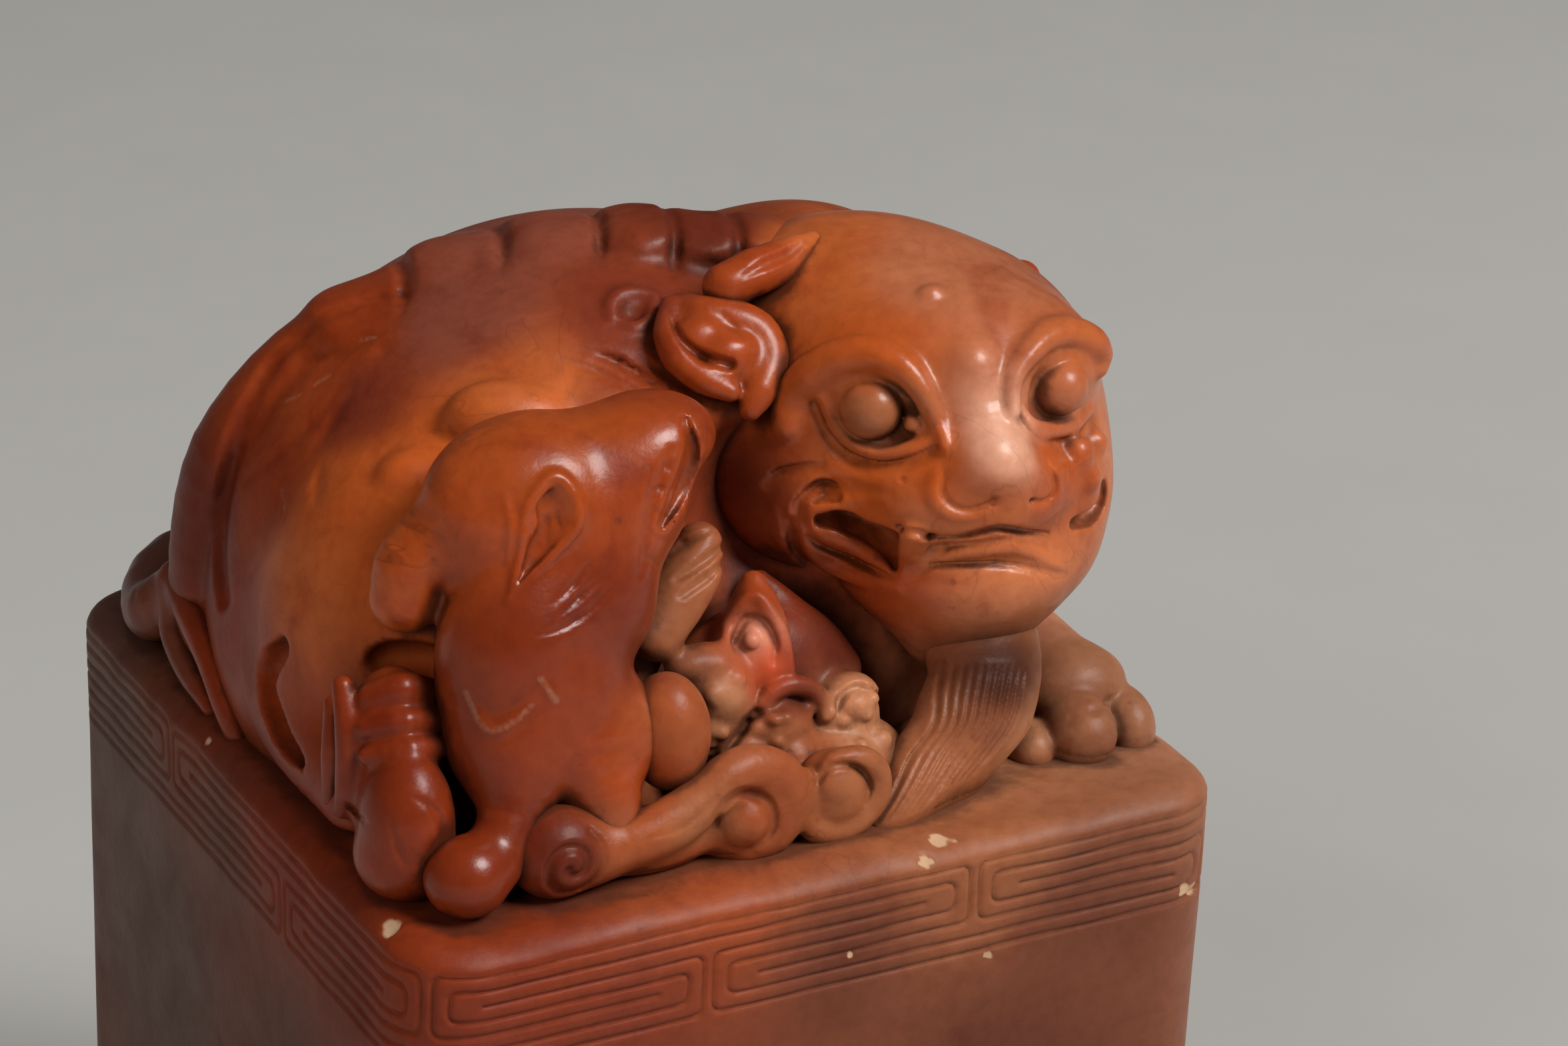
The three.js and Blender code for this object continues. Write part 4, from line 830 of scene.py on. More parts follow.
def block_mesh():
    rings = block_rings()
    start = np.cumsum([0] + [len(r[0]) for r in rings])
    points = np.concatenate([r[0] for r in rings])
    run = np.concatenate([r[1] for r in rings])
    facing = np.concatenate([r[2] for r in rings])
    faces = []
    for k in range(len(rings) - 1):
        a, b = start[k], start[k + 1]
        na, nb = len(rings[k][0]), len(rings[k + 1][0])
        if na == nb:
            i = np.arange(na)
            j = (i + 1) % na
            faces += np.stack([a + i, b + i, b + j, a + j], 1).tolist()
        elif na < nb:
            ratio = nb // na
            for i in range(na):
                low = [b + (i * ratio + m) % nb for m in range(ratio + 1)]
                faces.append([a + i] + low + [a + (i + 1) % na])
        else:
            ratio = na // nb
            for i in range(nb):
                high = [a + (i * ratio + m) % na for m in range(ratio + 1)]
                faces.append([b + i, b + (i + 1) % nb] + high[::-1])
    last, first = len(rings) - 1, 0
    ends = [(points[start[first]:start[first + 1]].mean(0), first, False),
            (points[start[last]:start[last + 1]].mean(0), last, True)]
    for middle, k, low in ends:
        hub = len(points)
        points = np.vstack([points, middle])
        run = np.append(run, 0.0)
        facing = np.vstack([facing, (0, -1, 0)])
        for i in range(COARSE):
            a, b = start[k] + i, start[k] + (i + 1) % COARSE
            faces.append([hub, b, a] if low else [hub, a, b])
    # the hand-cut top and sides are slightly uneven, and so are the lines of the fret
    top = np.clip(1 + points[:, 2] / 3.0, 0, 1)
    drop = points[:, 2].copy()
    side = (points[:, 2] < -0.2) & (points[:, 2] > 0.6 - BLOCK_HEIGHT)
    marks = np.zeros(len(points))
    hand = waviness(points, 3.2, 5)
    points[:, 2] += top * (0.10 * waviness(points, 4.5, 3) + 0.05 * waviness(points, 1.6, 4) - 0.05)
    points -= facing * (side * (0.03 + 0.03 * waviness(points, 7.0, 8)))[:, None]
    rim_way = facing * 0.8 + UP * 0.6
    for centre, size, depth, seed in CHIPS:
        chip(points, rim_way, marks, centre, size, depth, seed)
    return points, faces, run + 0.07 * hand, drop + 0.06 * waviness(points, 2.4, 6), facing, marks


CHIPS = (
    ((-18.9, -16.1, -0.3), (0.75, 0.75, 0.3), 0.22, 21),
    ((5.0, -19.0, -0.15), (0.5, 0.42, 0.4), 0.16, 22),
    ((4.1, -19.9, -0.6), (0.4, 0.4, 0.2), 0.16, 23),
    ((0.4, -20.0, -4.2), (0.2, 0.3, 0.2), 0.12, 24),
    ((18.3, -19.7, -5.2), (0.6, 0.6, 0.4), 0.25, 25),
    ((-19.7, 2.9, -0.3), (0.3, 0.4, 0.25), 0.15, 26),
    ((7.3, -20.0, -5.8), (0.18, 0.3, 0.18), 0.12, 27),
)


def rounded_path(path, radius, steps=4):
    """The path with each inner corner turned into a small arc."""
    p = [np.array(q, float) for q in path]
    out = [p[0]]
    for before, here, after in zip(p, p[1:], p[2:]):
        a, b = unit(before - here), unit(after - here)
        for t in np.linspace(0, 1, steps + 1):
            out.append(here + a * radius * (1 - t) ** 2 + b * radius * t ** 2)
    return out + [p[-1]]


def fret_unit_lines():
    """The chisel lines of one fret unit and of its mirror image, laid flat: run across, drop up."""
    level, pitch = FRET_LEVELS, FRET_PITCH
    edge, inner, stop = 0.25, 0.95, 2.4
    paths = [
        [(pitch - stop, level[2]), (edge, level[2]), (edge, level[6]), (pitch, level[6])],
        [(0, level[1]), (pitch - inner, level[1]), (pitch - inner, level[3]), (inner, level[3]),
         (inner, level[5]), (pitch, level[5])],
        [(stop, level[4]), (pitch - edge, level[4]), (pitch - edge, level[0]), (0, level[0])],
    ]
    points, edges = [], []
    for mirrored in (True, False):
        for path in paths:
            line = rounded_path(path, 0.5)
            base = len(points)
            for u, z in line:
                points.append((pitch - u if mirrored else pitch + u, z, 0.0))
            edges += [(base + k, base + k + 1) for k in range(len(line) - 1)]
    mesh = bpy.data.meshes.new("fret_unit_lines")
    mesh.from_pydata(points, edges, [])
    lines = bpy.data.objects.new("fret_unit_lines", mesh)
    bpy.context.scene.collection.objects.link(lines)
    return lines


# Colour, hollows and bruises, kept on the meshes.
def to_linear(srgb):
    c = np.asarray(srgb, float) / 255
    return np.where(c <= 0.04045, c / 12.92, ((c + 0.055) / 1.055) ** 2.4)


# The colours that the stone runs through, and the places on it where each one is purest; a few spots stand
# for painted shade and one for a painted highlight.
PALETTE = {
    "liver": (96, 36, 20), "red_brown": (116, 46, 26), "brick": (134, 50, 16), "rust": (152, 62, 22),
    "orange": (172, 78, 28), "amber": (178, 90, 42), "peach": (186, 104, 60), "rose": (198, 118, 74),
    "tan": (152, 90, 56), "blush": (178, 120, 84), "cocoa": (98, 50, 33), "copper": (150, 76, 40),
    "petal": (212, 146, 118), "sable": (66, 31, 18), "russet": (126, 64, 46), "umber": (86, 50, 36),
    "ash": (84, 60, 50), "ember": (186, 62, 18), "clay": (128, 74, 48), "fawn": (172, 100, 66),
    "sienna": (154, 68, 24), "garnet": (120, 42, 14), "shell": (214, 158, 130), "putty": (142, 94, 66),
}
ZONES = {
    "back, spine and rump": {
        "russet": [(-4, 4, 20), (-9, 0, 19)], "red_brown": [(-14, 0, 16)],
        # The liver spot at (-18, 6, 8) darkens the band along the spine's left side as painted shade.
        "liver": [(-18, 6, 8), (0, 12, 14), (14, 8, 10), (3, -1, 21)], "cocoa": [(0, 16, 4)],
        "brick": [(-12, 3, 17)],
    },
    "ribs and haunch": {
        "orange": [(-15.5, -3, 13), (-12.5, -6, 16)], "amber": [(-16.6, -4, 9.5), (-8.9, -5.5, 16.6)],
        "brick": [(-17, -3, 6), (-16.6, 2, 12)], "garnet": [(-17, -6, 1), (-18.4, 1, 5), (-18.4, 4, 3)],
        "rust": [(-14, 2, 15)],
    },
    "mane, ears and brow curl": {
        "red_brown": [(-2, -4, 20)], "sienna": [(1.5, -7, 19)],
        "rust": [(-0.5, -7, 18.3), (2.5, -5.4, 22), (17, -5.5, 17)], "amber": [(5.5, -4.4, 22.5)],
    },
    "mother's face": {
        "fawn": [(9, -9, 21.6), (12.9, -14.6, 17.8), (12, -9, 22)],
        "amber": [(5, -7, 20), (13.5, -15, 19), (8.6, -15.6, 14.2)],
        "orange": [(4.8, -11.8, 19.4), (4.5, -9.5, 18.6), (6.6, -14.6, 15.2),
                   (11.4, -14.8, 14.6), (4.6, -12.5, 13.6)],
        # The pale shell spot on the nose bridge is a painted highlight.
        "shell": [(9, -16.3, 16.6)], "tan": [(4.7, -12.5, 17.4)],
        # The rust spots at (3, -7, 12) and (5.5, -12.5, 9.6) darken the left cheek and jaw as painted
        # shade.
        "rust": [(0.9, -7, 19.8), (3, -7, 12), (5.5, -12.5, 9.6)],
        "peach": [(7, -14, 12.6), (16, -11, 13)], "rose": [(10, -13, 9.5)],
    },
    "beard and paw": {
        # The sable spot darkens the beard's top as painted shadow under the chin; the beard lightens
        # downwards from there.
        "sable": [(9.6, -15.6, 4.9)], "clay": [(9.0, -16.2, 3.2)],
        "tan": [(8.0, -16.6, 1.9), (6, -17.2, 1.2)], "blush": [(10.6, -15.8, 1.8)], "putty": [(16, -14, 2)],
    },
    "cub": {
        "sienna": [(-10, -13, 18.2)], "brick": [(-4, -10, 17), (-11.5, -16, 7)],
        "rust": [(-8, -14, 16), (-14, -13, 13.6), (-8, -16.8, 5)],
        "garnet": [(-13, -15, 12), (-9, -15.3, 12), (-15, -15, 4), (-16, -17.5, 1.5)],
        "orange": [(-16, -10, 13)], "red_brown": [(-7.4, -14.6, 10)], "copper": [(-6.8, -17, 6.5)],
    },
    "clouds": {
        "copper": [(-9, -18, 1.8), (-2.5, -17.8, 3)], "tan": [(-6, -18, 2.6), (1.5, -17.5, 2)],
        "liver": [(-12.0, -18.3, 2)],
    },
    "hollow under the chin": {
        "rust": [(-1.7, -13.2, 7.2), (-0.4, -12, 9.4), (-2.2, -12.5, 8.2)], "ember": [(-0.6, -13.2, 6.8)],
        # The liver spots darken the back of the hollow and the gap among the rocks: the stone's own dark
        # colour there, with painted shade from the chin over it.
        "liver": [(0.9, -12.7, 6.8), (0.4, -14, 5.2), (3.6, -11.6, 6)], "petal": [(-1.15, -13.0, 7.95)],
        "brick": [(-0.9, -12.3, 9.5)],
        "tan": [(-0.1, -14.8, 4), (-2.4, -14.6, 3), (-3.2, -12.2, 11.2), (-4.8, -12.9, 9.4)],
        "blush": [(3.6, -14.2, 4.3), (-2.9, -14.2, 6)], "clay": [(-4.2, -13.4, 7.6)],
        # The red_brown spot darkens the chest below the chin as painted shade.
        "red_brown": [(-1, -9, 13)], "garnet": [(1.4, -11, 8.4)], "copper": [(0.3, -15.4, 2.9)],
    },
    "hind foot": {
        "garnet": [(-17.3, -15.5, 3), (-17.3, -13.5, 7), (-19.5, -11, 5)],
    },
    "block": {
        "tan": [(8, -18.5, -0.5), (18, 8, -0.5)], "rust": [(-6, -18.5, -0.5)],
        "brick": [(-13, -19, -0.7), (-18, -18, -1)],
        "red_brown": [(-19.2, -4, -0.5), (-10, -20, -3.3), (-17.5, -20, -3.3), (-18, -20, -12)],
        "cocoa": [(-19.2, 9, -0.5), (12, -20, -3.3), (0, -20, -3.3), (8, -20, -12),
                  (-8, -20, -12), (0, 20, -10)],
        "petal": [(18.5, -10, -0.5)], "liver": [(-20, -14, -3.3)],
        # The umber and ash spots on the left face (x = -20) paint it grey-brown as painted shade with a
        # painted sheen.
        "umber": [(-20, 0, -3.3), (-20, -8, -12), (-20, 0, -36)], "ash": [(-20, 12, -3.3), (-20, 8, -12)],
        "clay": [(0, -20, -40), (20, 0, -10), (20, 0, -36), (0, 20, -36), (0, 0, -47)],
    },
}


def tint(points, reach=1.4):
    """The stone's colour at each point, blended from the zones above, more softly for a longer reach."""
    fall, batch = -2.6, 50000
    named = [(name, spot) for part in ZONES.values() for name, spots in part.items() for spot in spots]
    places = np.array([spot for _, spot in named], float)
    colours = np.array([to_linear(PALETTE[name]) for name, _ in named])
    out = np.ones((len(points), 4))
    for k in range(0, len(points), batch):
        away = ((points[k:k + batch, None] - places[None]) ** 2).sum(2)
        weight = (away + reach) ** fall
        out[k:k + batch, :3] = weight @ colours / weight.sum(1, keepdims=True)
    return out


# How far each probe reaches out of the surface, and what it counts for.
PROBES = ((0.35, 0.3), (0.9, 0.35), (2.0, 0.35))
OPEN_AIR = 99.0


def hollow(points, facing, carvings):
    """0 on open ground, towards 1 deep in a crease or where two members meet; it sets where the stone is
    darkened with grime and painted shade.
    """
    total = np.zeros(len(points))
    for far, share in PROBES:
        probe = points + facing * far
        over_block = (np.abs(probe[:, :2]).max(1) < BLOCK_SIDE / 2 - 1) & (probe[:, 2] > -1)
        near = np.where(over_block, probe[:, 2] + (points[:, 2] < 0.3) * OPEN_AIR, OPEN_AIR)
        for c in carvings:
            m = ((probe > c.lo) & (probe < c.lo + c.step * (c.n - 1))).all(1)
            near[m] = np.minimum(near[m], c.sample(probe[m]))
        total += share * np.clip(1 - near / far, 0, 1)
    return total


def bruises(points, marks):
    """Palest on the line of a fresh scratch, 0 away from it."""
    strength, most = 0.5, 0.32
    out = np.zeros(len(points))
    for path, reach in marks:
        m = np.where(((points > path.min(0) - reach) & (points < path.max(0) + reach)).all(1))[0]
        if len(m):
            away = np.sqrt(((points[m][:, None] - path[None]) ** 2).sum(2)).min(1)
            out[m] = np.maximum(out[m], np.clip(strength * (1 - away / reach), 0, most))
    return out


# What a value at each point is kept as, by how many numbers it holds.
LAYER_KINDS = {1: ("FLOAT", "value"), 3: ("FLOAT_VECTOR", "vector"), 4: ("FLOAT_COLOR", "color")}


def piece_of(name, points, faces, layers):
    """A stone piece with its place in its mesh, and layers of values kept at its points."""
    mesh = bpy.data.meshes.new(name)
    metres = (points + UP * BLOCK_HEIGHT) * MM
    if isinstance(faces, np.ndarray):
        mesh.vertices.add(len(points))
        mesh.vertices.foreach_set("co", metres.astype(np.float32).ravel())
        mesh.loops.add(faces.size)
        mesh.loops.foreach_set("vertex_index", faces.astype(np.int32).ravel())
        mesh.polygons.add(len(faces))
        mesh.polygons.foreach_set("loop_start", np.arange(0, faces.size, 4, dtype=np.int32))
        mesh.update(calc_edges=True)
    else:
        mesh.from_pydata(metres.tolist(), [], faces)
    for layer, values in layers.items():
        kind, key = LAYER_KINDS[1 if values.ndim == 1 else values.shape[1]]
        mesh.attributes.new(layer, kind, "POINT").data.foreach_set(key, values.astype(np.float32).ravel())
    mesh.shade_smooth()
    piece = bpy.data.objects.new(name, mesh)
    bpy.context.scene.collection.objects.link(piece)
    return piece


# Laying out node trees.
class Board:
    """A node tree with short ways to place and join its nodes."""

    def __init__(self, tree):
        self.tree = tree

    def put(self, kind, inputs=None, **settings):
        node = self.tree.nodes.new(kind)
        for key, value in settings.items():
            setattr(node, key, value)
        for key, value in (inputs or {}).items():
            if isinstance(value, bpy.types.NodeSocket):
                self.tree.links.new(value, node.inputs[key])
            else:
                node.inputs[key].default_value = value
        return node

    def math(self, operation, a, b=0.5, clamp=False):
        return self.put("ShaderNodeMath", {0: a, 1: b}, operation=operation, use_clamp=clamp).outputs[0]

    def step(self, value, low, high, out_low=0.0, out_high=1.0):
        spots = {"Value": value, "From Min": low, "From Max": high, "To Min": out_low, "To Max": out_high}
        return self.put("ShaderNodeMapRange", spots, interpolation_type="SMOOTHSTEP").outputs[0]

    def mix(self, share, a, b, blend="MIX"):
        return self.put("ShaderNodeMix", {0: share, 6: a, 7: b}, data_type="RGBA",
                        blend_type=blend).outputs[2]

    def noise(self, place, scale, detail=3.0, rough=0.5, bend=0.0):
        spots = {"Vector": place, "Scale": scale, "Detail": detail, "Roughness": rough, "Distortion": bend}
        return self.put("ShaderNodeTexNoise", spots).outputs["Fac"]


def sockets(tree, side, names):
    for name, kind in names:
        tree.interface.new_socket(name, in_out=side, socket_type="NodeSocket" + kind)


def stone_group():
    """Polished figured stone: cloudy colour, dark veins, grime and painted shade in the hollows, and pale
    bruises.
    """
    tree = bpy.data.node_groups.new("figured_stone", "ShaderNodeTree")
    sockets(tree, "INPUT", [("Place", "Vector"), ("Tint", "Color"), ("Hollow", "Float"),
                            ("Bruise", "Float"), ("Cloud", "Float"), ("Vein", "Float"), ("Grime and shade", "Float"),
                            ("Grime and shade colour", "Color"), ("Shine", "Float")])
    sockets(tree, "OUTPUT", [("Colour", "Color"), ("Roughness", "Float"), ("Height", "Float")])
    b = Board(tree)
    given = tree.nodes.new("NodeGroupInput").outputs
    place = given["Place"]
    darker, lighter, dusty = (0.74, 0.55, 0.48, 1), (1.24, 1.27, 1.3, 1), (0.66, 0.56, 0.5, 1)
    vein_red, speck_red, fresh = (0.075, 0.014, 0.008, 1), (0.09, 0.02, 0.01, 1), (0.60, 0.40, 0.24, 1)
    cloud = b.noise(place, 260.0, 5.0, 0.55, 0.6)
    fine = b.noise(place, 1500.0, 4.0, 0.6)
    swing = b.math("MULTIPLY", b.math("SUBTRACT", cloud, 0.5), given["Cloud"])
    dark = b.mix(1.0, given["Tint"], darker, "MULTIPLY")
    light = b.mix(1.0, given["Tint"], lighter, "MULTIPLY")
    shaded = b.mix(b.step(swing, -0.22, 0.0, 1.0, 0.0), given["Tint"], dark)
    clouded = b.mix(b.step(swing, 0.0, 0.25), shaded, light)
    grain = b.mix(b.step(fine, 0.35, 0.7, 0.0, 0.35), clouded, b.mix(1.0, clouded, dusty, "MULTIPLY"))
    path = b.noise(place, 150.0, 3.0, 0.5, 1.4)
    thread = b.step(b.math("ABSOLUTE", b.math("SUBTRACT", path, 0.5)), 0.0, 0.012, 0.6, 0.0)
    patchy = b.step(b.noise(place, 90.0, 2.0), 0.45, 0.62)
    vein = b.math("MULTIPLY", b.math("MULTIPLY", thread, patchy), given["Vein"], True)
    veined = b.mix(vein, grain, vein_red)
    dots = b.put("ShaderNodeTexVoronoi",
                 {"Vector": place, "Scale": 620.0, "Randomness": 1.0}).outputs["Distance"]
    speck = b.math("MULTIPLY", b.step(dots, 0.05, 0.16, 1.0, 0.0), b.step(fine, 0.5, 0.62))
    specked = b.mix(b.math("MULTIPLY", speck, given["Vein"], True), veined, speck_red)
    # Painted shade with grime: the hollow layer darkens creases, recesses and the joins between members
    # towards the grime and shade colour.
    ragged = b.math("ADD", given["Hollow"], b.math("MULTIPLY", b.math("SUBTRACT", fine, 0.5), 0.5))
    grime_and_shade = b.math("MULTIPLY", b.step(ragged, 0.22, 0.85), given["Grime and shade"], True)
    grimed_and_shaded = b.mix(grime_and_shade, specked, given["Grime and shade colour"])
    flake = b.step(b.math("MULTIPLY", given["Bruise"], b.step(fine, 0.3, 0.55, 0.5, 1.0)), 0.15, 0.75)
    pale = b.mix(b.math("MULTIPLY", flake, 0.75), grimed_and_shaded, fresh)
    worn = b.step(cloud, 0.3, 0.7, 0.05, -0.04)
    gloss = b.math("ADD", given["Shine"], b.math("ADD", worn, b.math("MULTIPLY", grime_and_shade, 0.3)))
    gloss = b.math("ADD", gloss, b.math("MULTIPLY", flake, 0.25), True)
    pits = b.math("MULTIPLY", b.noise(place, 2600.0, 3.0, 0.6), 0.5)
    dents = b.math("ADD", b.noise(place, 520.0, 3.0, 0.5), pits)
    b.put("NodeGroupOutput", {"Colour": pale, "Roughness": gloss, "Height": dents})
    return tree


# What all the finishes share: the light sinks about a millimetre into the stone, red the deepest.
SHARED = {"IOR": 1.46, "Coat Roughness": 0.16, "Subsurface Weight": 0.28,
          "Subsurface Radius": (1.0, 0.36, 0.18), "Subsurface Scale": 0.0012}
PIT_DEPTH = 0.00012


def stone(name, group, cloud, vein, grime_and_shade, grime_and_shade_colour, shine, bump, wax, mirror):
    material = bpy.data.materials.new(name)
    material.use_nodes = True
    b = Board(material.node_tree)
    shader = material.node_tree.nodes["Principled BSDF"]
    layer = {key: b.put("ShaderNodeAttribute", attribute_name=key) for key in ("tint", "hollow", "bruise")}
    look = b.put("ShaderNodeGroup", node_tree=group)
    wired = {"Place": b.put("ShaderNodeTexCoord").outputs["Object"], "Tint": layer["tint"].outputs["Color"],
             "Hollow": layer["hollow"].outputs["Fac"], "Bruise": layer["bruise"].outputs["Fac"]}
    for key, socket in wired.items():
        material.node_tree.links.new(socket, look.inputs[key])
    own = {"Cloud": cloud, "Vein": vein, "Grime and shade": grime_and_shade, "Shine": shine,
           "Grime and shade colour": (*to_linear(grime_and_shade_colour), 1)}
    for key, value in own.items():
        look.inputs[key].default_value = value
    relief = b.put("ShaderNodeBump", {"Strength": bump, "Distance": PIT_DEPTH,
                                           "Height": look.outputs["Height"]})
    for key, socket in (("Base Color", look.outputs["Colour"]), ("Roughness", look.outputs["Roughness"]),
                        ("Normal", relief.outputs["Normal"])):
        material.node_tree.links.new(socket, shader.inputs[key])
    shader.inputs["Specular IOR Level"].default_value = mirror
    shader.inputs["Coat Weight"].default_value = wax
    for key, value in SHARED.items():
        shader.inputs[key].default_value = value
    return material


figured = stone_group()
# Dark colours for the grime and painted shade in the hollows of each finish.
BROWN_GRIME_AND_SHADE, GREY_GRIME_AND_SHADE, CLAY_GRIME_AND_SHADE = (38, 16, 8), (44, 26, 18), (52, 30, 20)
# Each finish: cloud, vein, grime with painted shade and its colour, shine, bump, wax and mirror.
FINISHES = {
    "block_stone": (0.6, 0.3, 0.6, GREY_GRIME_AND_SHADE, 0.5, 0.35, 0.0, 0.26),
    "back_stone": (0.9, 0.35, 0.7, BROWN_GRIME_AND_SHADE, 0.42, 0.35, 0.0, 0.26),
    "flank_stone": (0.9, 0.5, 0.65, BROWN_GRIME_AND_SHADE, 0.36, 0.35, 0.05, 0.3),
    "face_stone": (0.8, 0.35, 0.7, BROWN_GRIME_AND_SHADE, 0.34, 0.3, 0.07, 0.32),
    "cub_stone": (1.0, 0.6, 0.7, BROWN_GRIME_AND_SHADE, 0.31, 0.3, 0.1, 0.32),
    "cloud_stone": (0.8, 0.35, 0.55, CLAY_GRIME_AND_SHADE, 0.41, 0.35, 0.0, 0.22),
}
STONES = {name: stone(name, figured, *looks) for name, looks in FINISHES.items()}


# The members of the knob.
MEMBERS = (
    ("mother_body", carve_body, "back_stone",
     ("trunk", "shoulder", "spine_ridge", "haunch", "nape_curl", "crest_curl")),
    ("mother_tail", carve_tail, "flank_stone", ("tail",)),
    ("mother_head", carve_head, "face_stone", ("head",)),
    ("mother_left_ear", carve_left_ear, "face_stone", ("left_ear",)),
    ("mother_right_ear", carve_right_ear, "face_stone", ("right_ear",)),
    ("mother_brow_curl", carve_brow_curl, "flank_stone", ("brow_curl",)),
    ("mother_beard", carve_beard, "cloud_stone", ("beard",)),
    ("mother_foreleg", carve_foreleg, "cloud_stone", ("foreleg", "forepaw")),
    ("mother_hind_foot", carve_hind_foot, "flank_stone", ("hind_foot",)),
    ("standing_cub", carve_cub, "cub_stone",
     ("cub_head", "cub_trunk", "cub_arm", "cub_left_leg", "cub_right_leg")),
    ("standing_cub_knee", carve_cub_knee, "cloud_stone", ("cub_knee",)),
    ("foot_clouds", carve_clouds, "cloud_stone", ("swirl", "ribbon", "front_scroll", "beard_scroll")),
    ("small_beast", carve_hollow_cub, "cloud_stone", ("hollow_cub", "hollow_ear")),
)
carvings = [make() for _, make, _, _ in MEMBERS]
for carving, (name, _, finish, nodes) in zip(carvings, MEMBERS):
    points, faces = carving.surface()
    way = carving.outward(points)
    way /= np.linalg.norm(way, axis=1, keepdims=True) + 1e-9
    layers = {"tint": tint(points), "hollow": hollow(points, way, carvings),
              "bruise": bruises(points, carving.marks)}
    member = piece_of(name, points, faces, layers)
    member.data.materials.append(STONES[finish])
    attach(member, "root")
    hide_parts(*nodes)
    print(name, len(faces), "faces")


# The block.
def engraving(lines):
    """Chisels the fret into the block wherever its lines run, round all four sides."""
    tree = bpy.data.node_groups.new("chiselled_fret", "GeometryNodeTree")
    sockets(tree, "INPUT", [("Block", "Geometry"), ("Unit pair", "Float"), ("Groove width", "Float"),
                            ("Groove depth", "Float"), ("Lines", "Object"), ("Stone", "Material")])
    sockets(tree, "OUTPUT", [("Block", "Geometry")])
    b = Board(tree)
    given = tree.nodes.new("NodeGroupInput").outputs

    def layer(key, kind="FLOAT"):
        return b.put("GeometryNodeInputNamedAttribute", {"Name": key}, data_type=kind).outputs["Attribute"]

    along = b.put("ShaderNodeMath", {0: layer("run"), 1: given["Unit pair"]},
                  operation="FLOORED_MODULO").outputs[0]
    spot = b.put("ShaderNodeCombineXYZ", {"X": along, "Y": layer("drop")}).outputs[0]
    unit_lines = b.put("GeometryNodeObjectInfo", {"Object": given["Lines"]}).outputs["Geometry"]
    away = b.put("GeometryNodeProximity", {"Geometry": unit_lines, "Sample Position": spot},
                 target_element="EDGES").outputs["Distance"]
    cut = b.put("ShaderNodeMapRange", {"Value": away, "From Min": 0.0, "From Max": given["Groove width"],
                "To Min": 1.0, "To Max": 0.0}, interpolation_type="SMOOTHSTEP").outputs[0]
    depth = b.math("MULTIPLY", cut, given["Groove depth"])
    inward = b.put("ShaderNodeVectorMath", {0: layer("facing", "FLOAT_VECTOR"),
                   "Scale": b.math("MULTIPLY", depth, -MM)}, operation="SCALE").outputs[0]
    moved = b.put("GeometryNodeSetPosition", {"Geometry": given["Block"], "Offset": inward}).outputs[0]
    deeper = b.math("MAXIMUM", layer("hollow"), b.math("MULTIPLY", cut, GROOVE_GRIME))
    kept = b.put("GeometryNodeStoreNamedAttribute", {"Geometry": moved, "Name": "hollow", "Value": deeper},
                 data_type="FLOAT", domain="POINT").outputs[0]
    whole = b.put("GeometryNodeRealizeInstances", {"Geometry": kept}).outputs[0]
    done = b.put("GeometryNodeSetMaterial", {"Geometry": whole, "Material": given["Stone"]}).outputs[0]
    b.put("NodeGroupOutput", {"Block": done})
    return tree


def relief_bars():
    """Bars of the printing face, set out on points that carry each bar's size."""
    tree = bpy.data.node_groups.new("printing_relief", "GeometryNodeTree")
    sockets(tree, "INPUT", [("Spots", "Geometry"), ("Bar height", "Float"), ("Stone", "Material")])
    sockets(tree, "OUTPUT", [("Bars", "Geometry")])
    b = Board(tree)
    given = tree.nodes.new("NodeGroupInput").outputs
    size = b.put("GeometryNodeInputNamedAttribute", {"Name": "bar_size"}, data_type="FLOAT_VECTOR")
    tall = b.put("ShaderNodeCombineXYZ", {"X": 1.0, "Y": 1.0, "Z": given["Bar height"]}).outputs[0]
    scale = b.put("ShaderNodeVectorMath", {0: size.outputs["Attribute"], 1: tall},
                  operation="MULTIPLY").outputs[0]
    dots = b.put("GeometryNodeMeshToPoints", {"Mesh": given["Spots"]}).outputs[0]
    cube = b.put("GeometryNodeMeshCube", {"Vertices X": 3, "Vertices Y": 3}).outputs["Mesh"]
    set_out = b.put("GeometryNodeInstanceOnPoints",
                    {"Points": dots, "Instance": cube, "Scale": scale}).outputs[0]
    whole = b.put("GeometryNodeRealizeInstances", {"Geometry": set_out}).outputs[0]
    done = b.put("GeometryNodeSetMaterial", {"Geometry": whole, "Material": given["Stone"]}).outputs[0]
    b.put("NodeGroupOutput", {"Bars": done})
    return tree


def grown(piece, tree, settings):
    """Runs the tree on the piece and keeps the result as its plain mesh."""
    modifier = piece.modifiers.new(tree.name, "NODES")
    modifier.node_group = tree
    for socket in tree.interface.items_tree:
        if socket.item_type == "SOCKET" and socket.in_out == "INPUT" and socket.name in settings:
            modifier[socket.identifier] = settings[socket.name]
    bpy.context.view_layer.update()
    result = bpy.data.meshes.new_from_object(piece.evaluated_get(bpy.context.evaluated_depsgraph_get()))
    piece.modifiers.clear()
    piece.data = result
    return piece


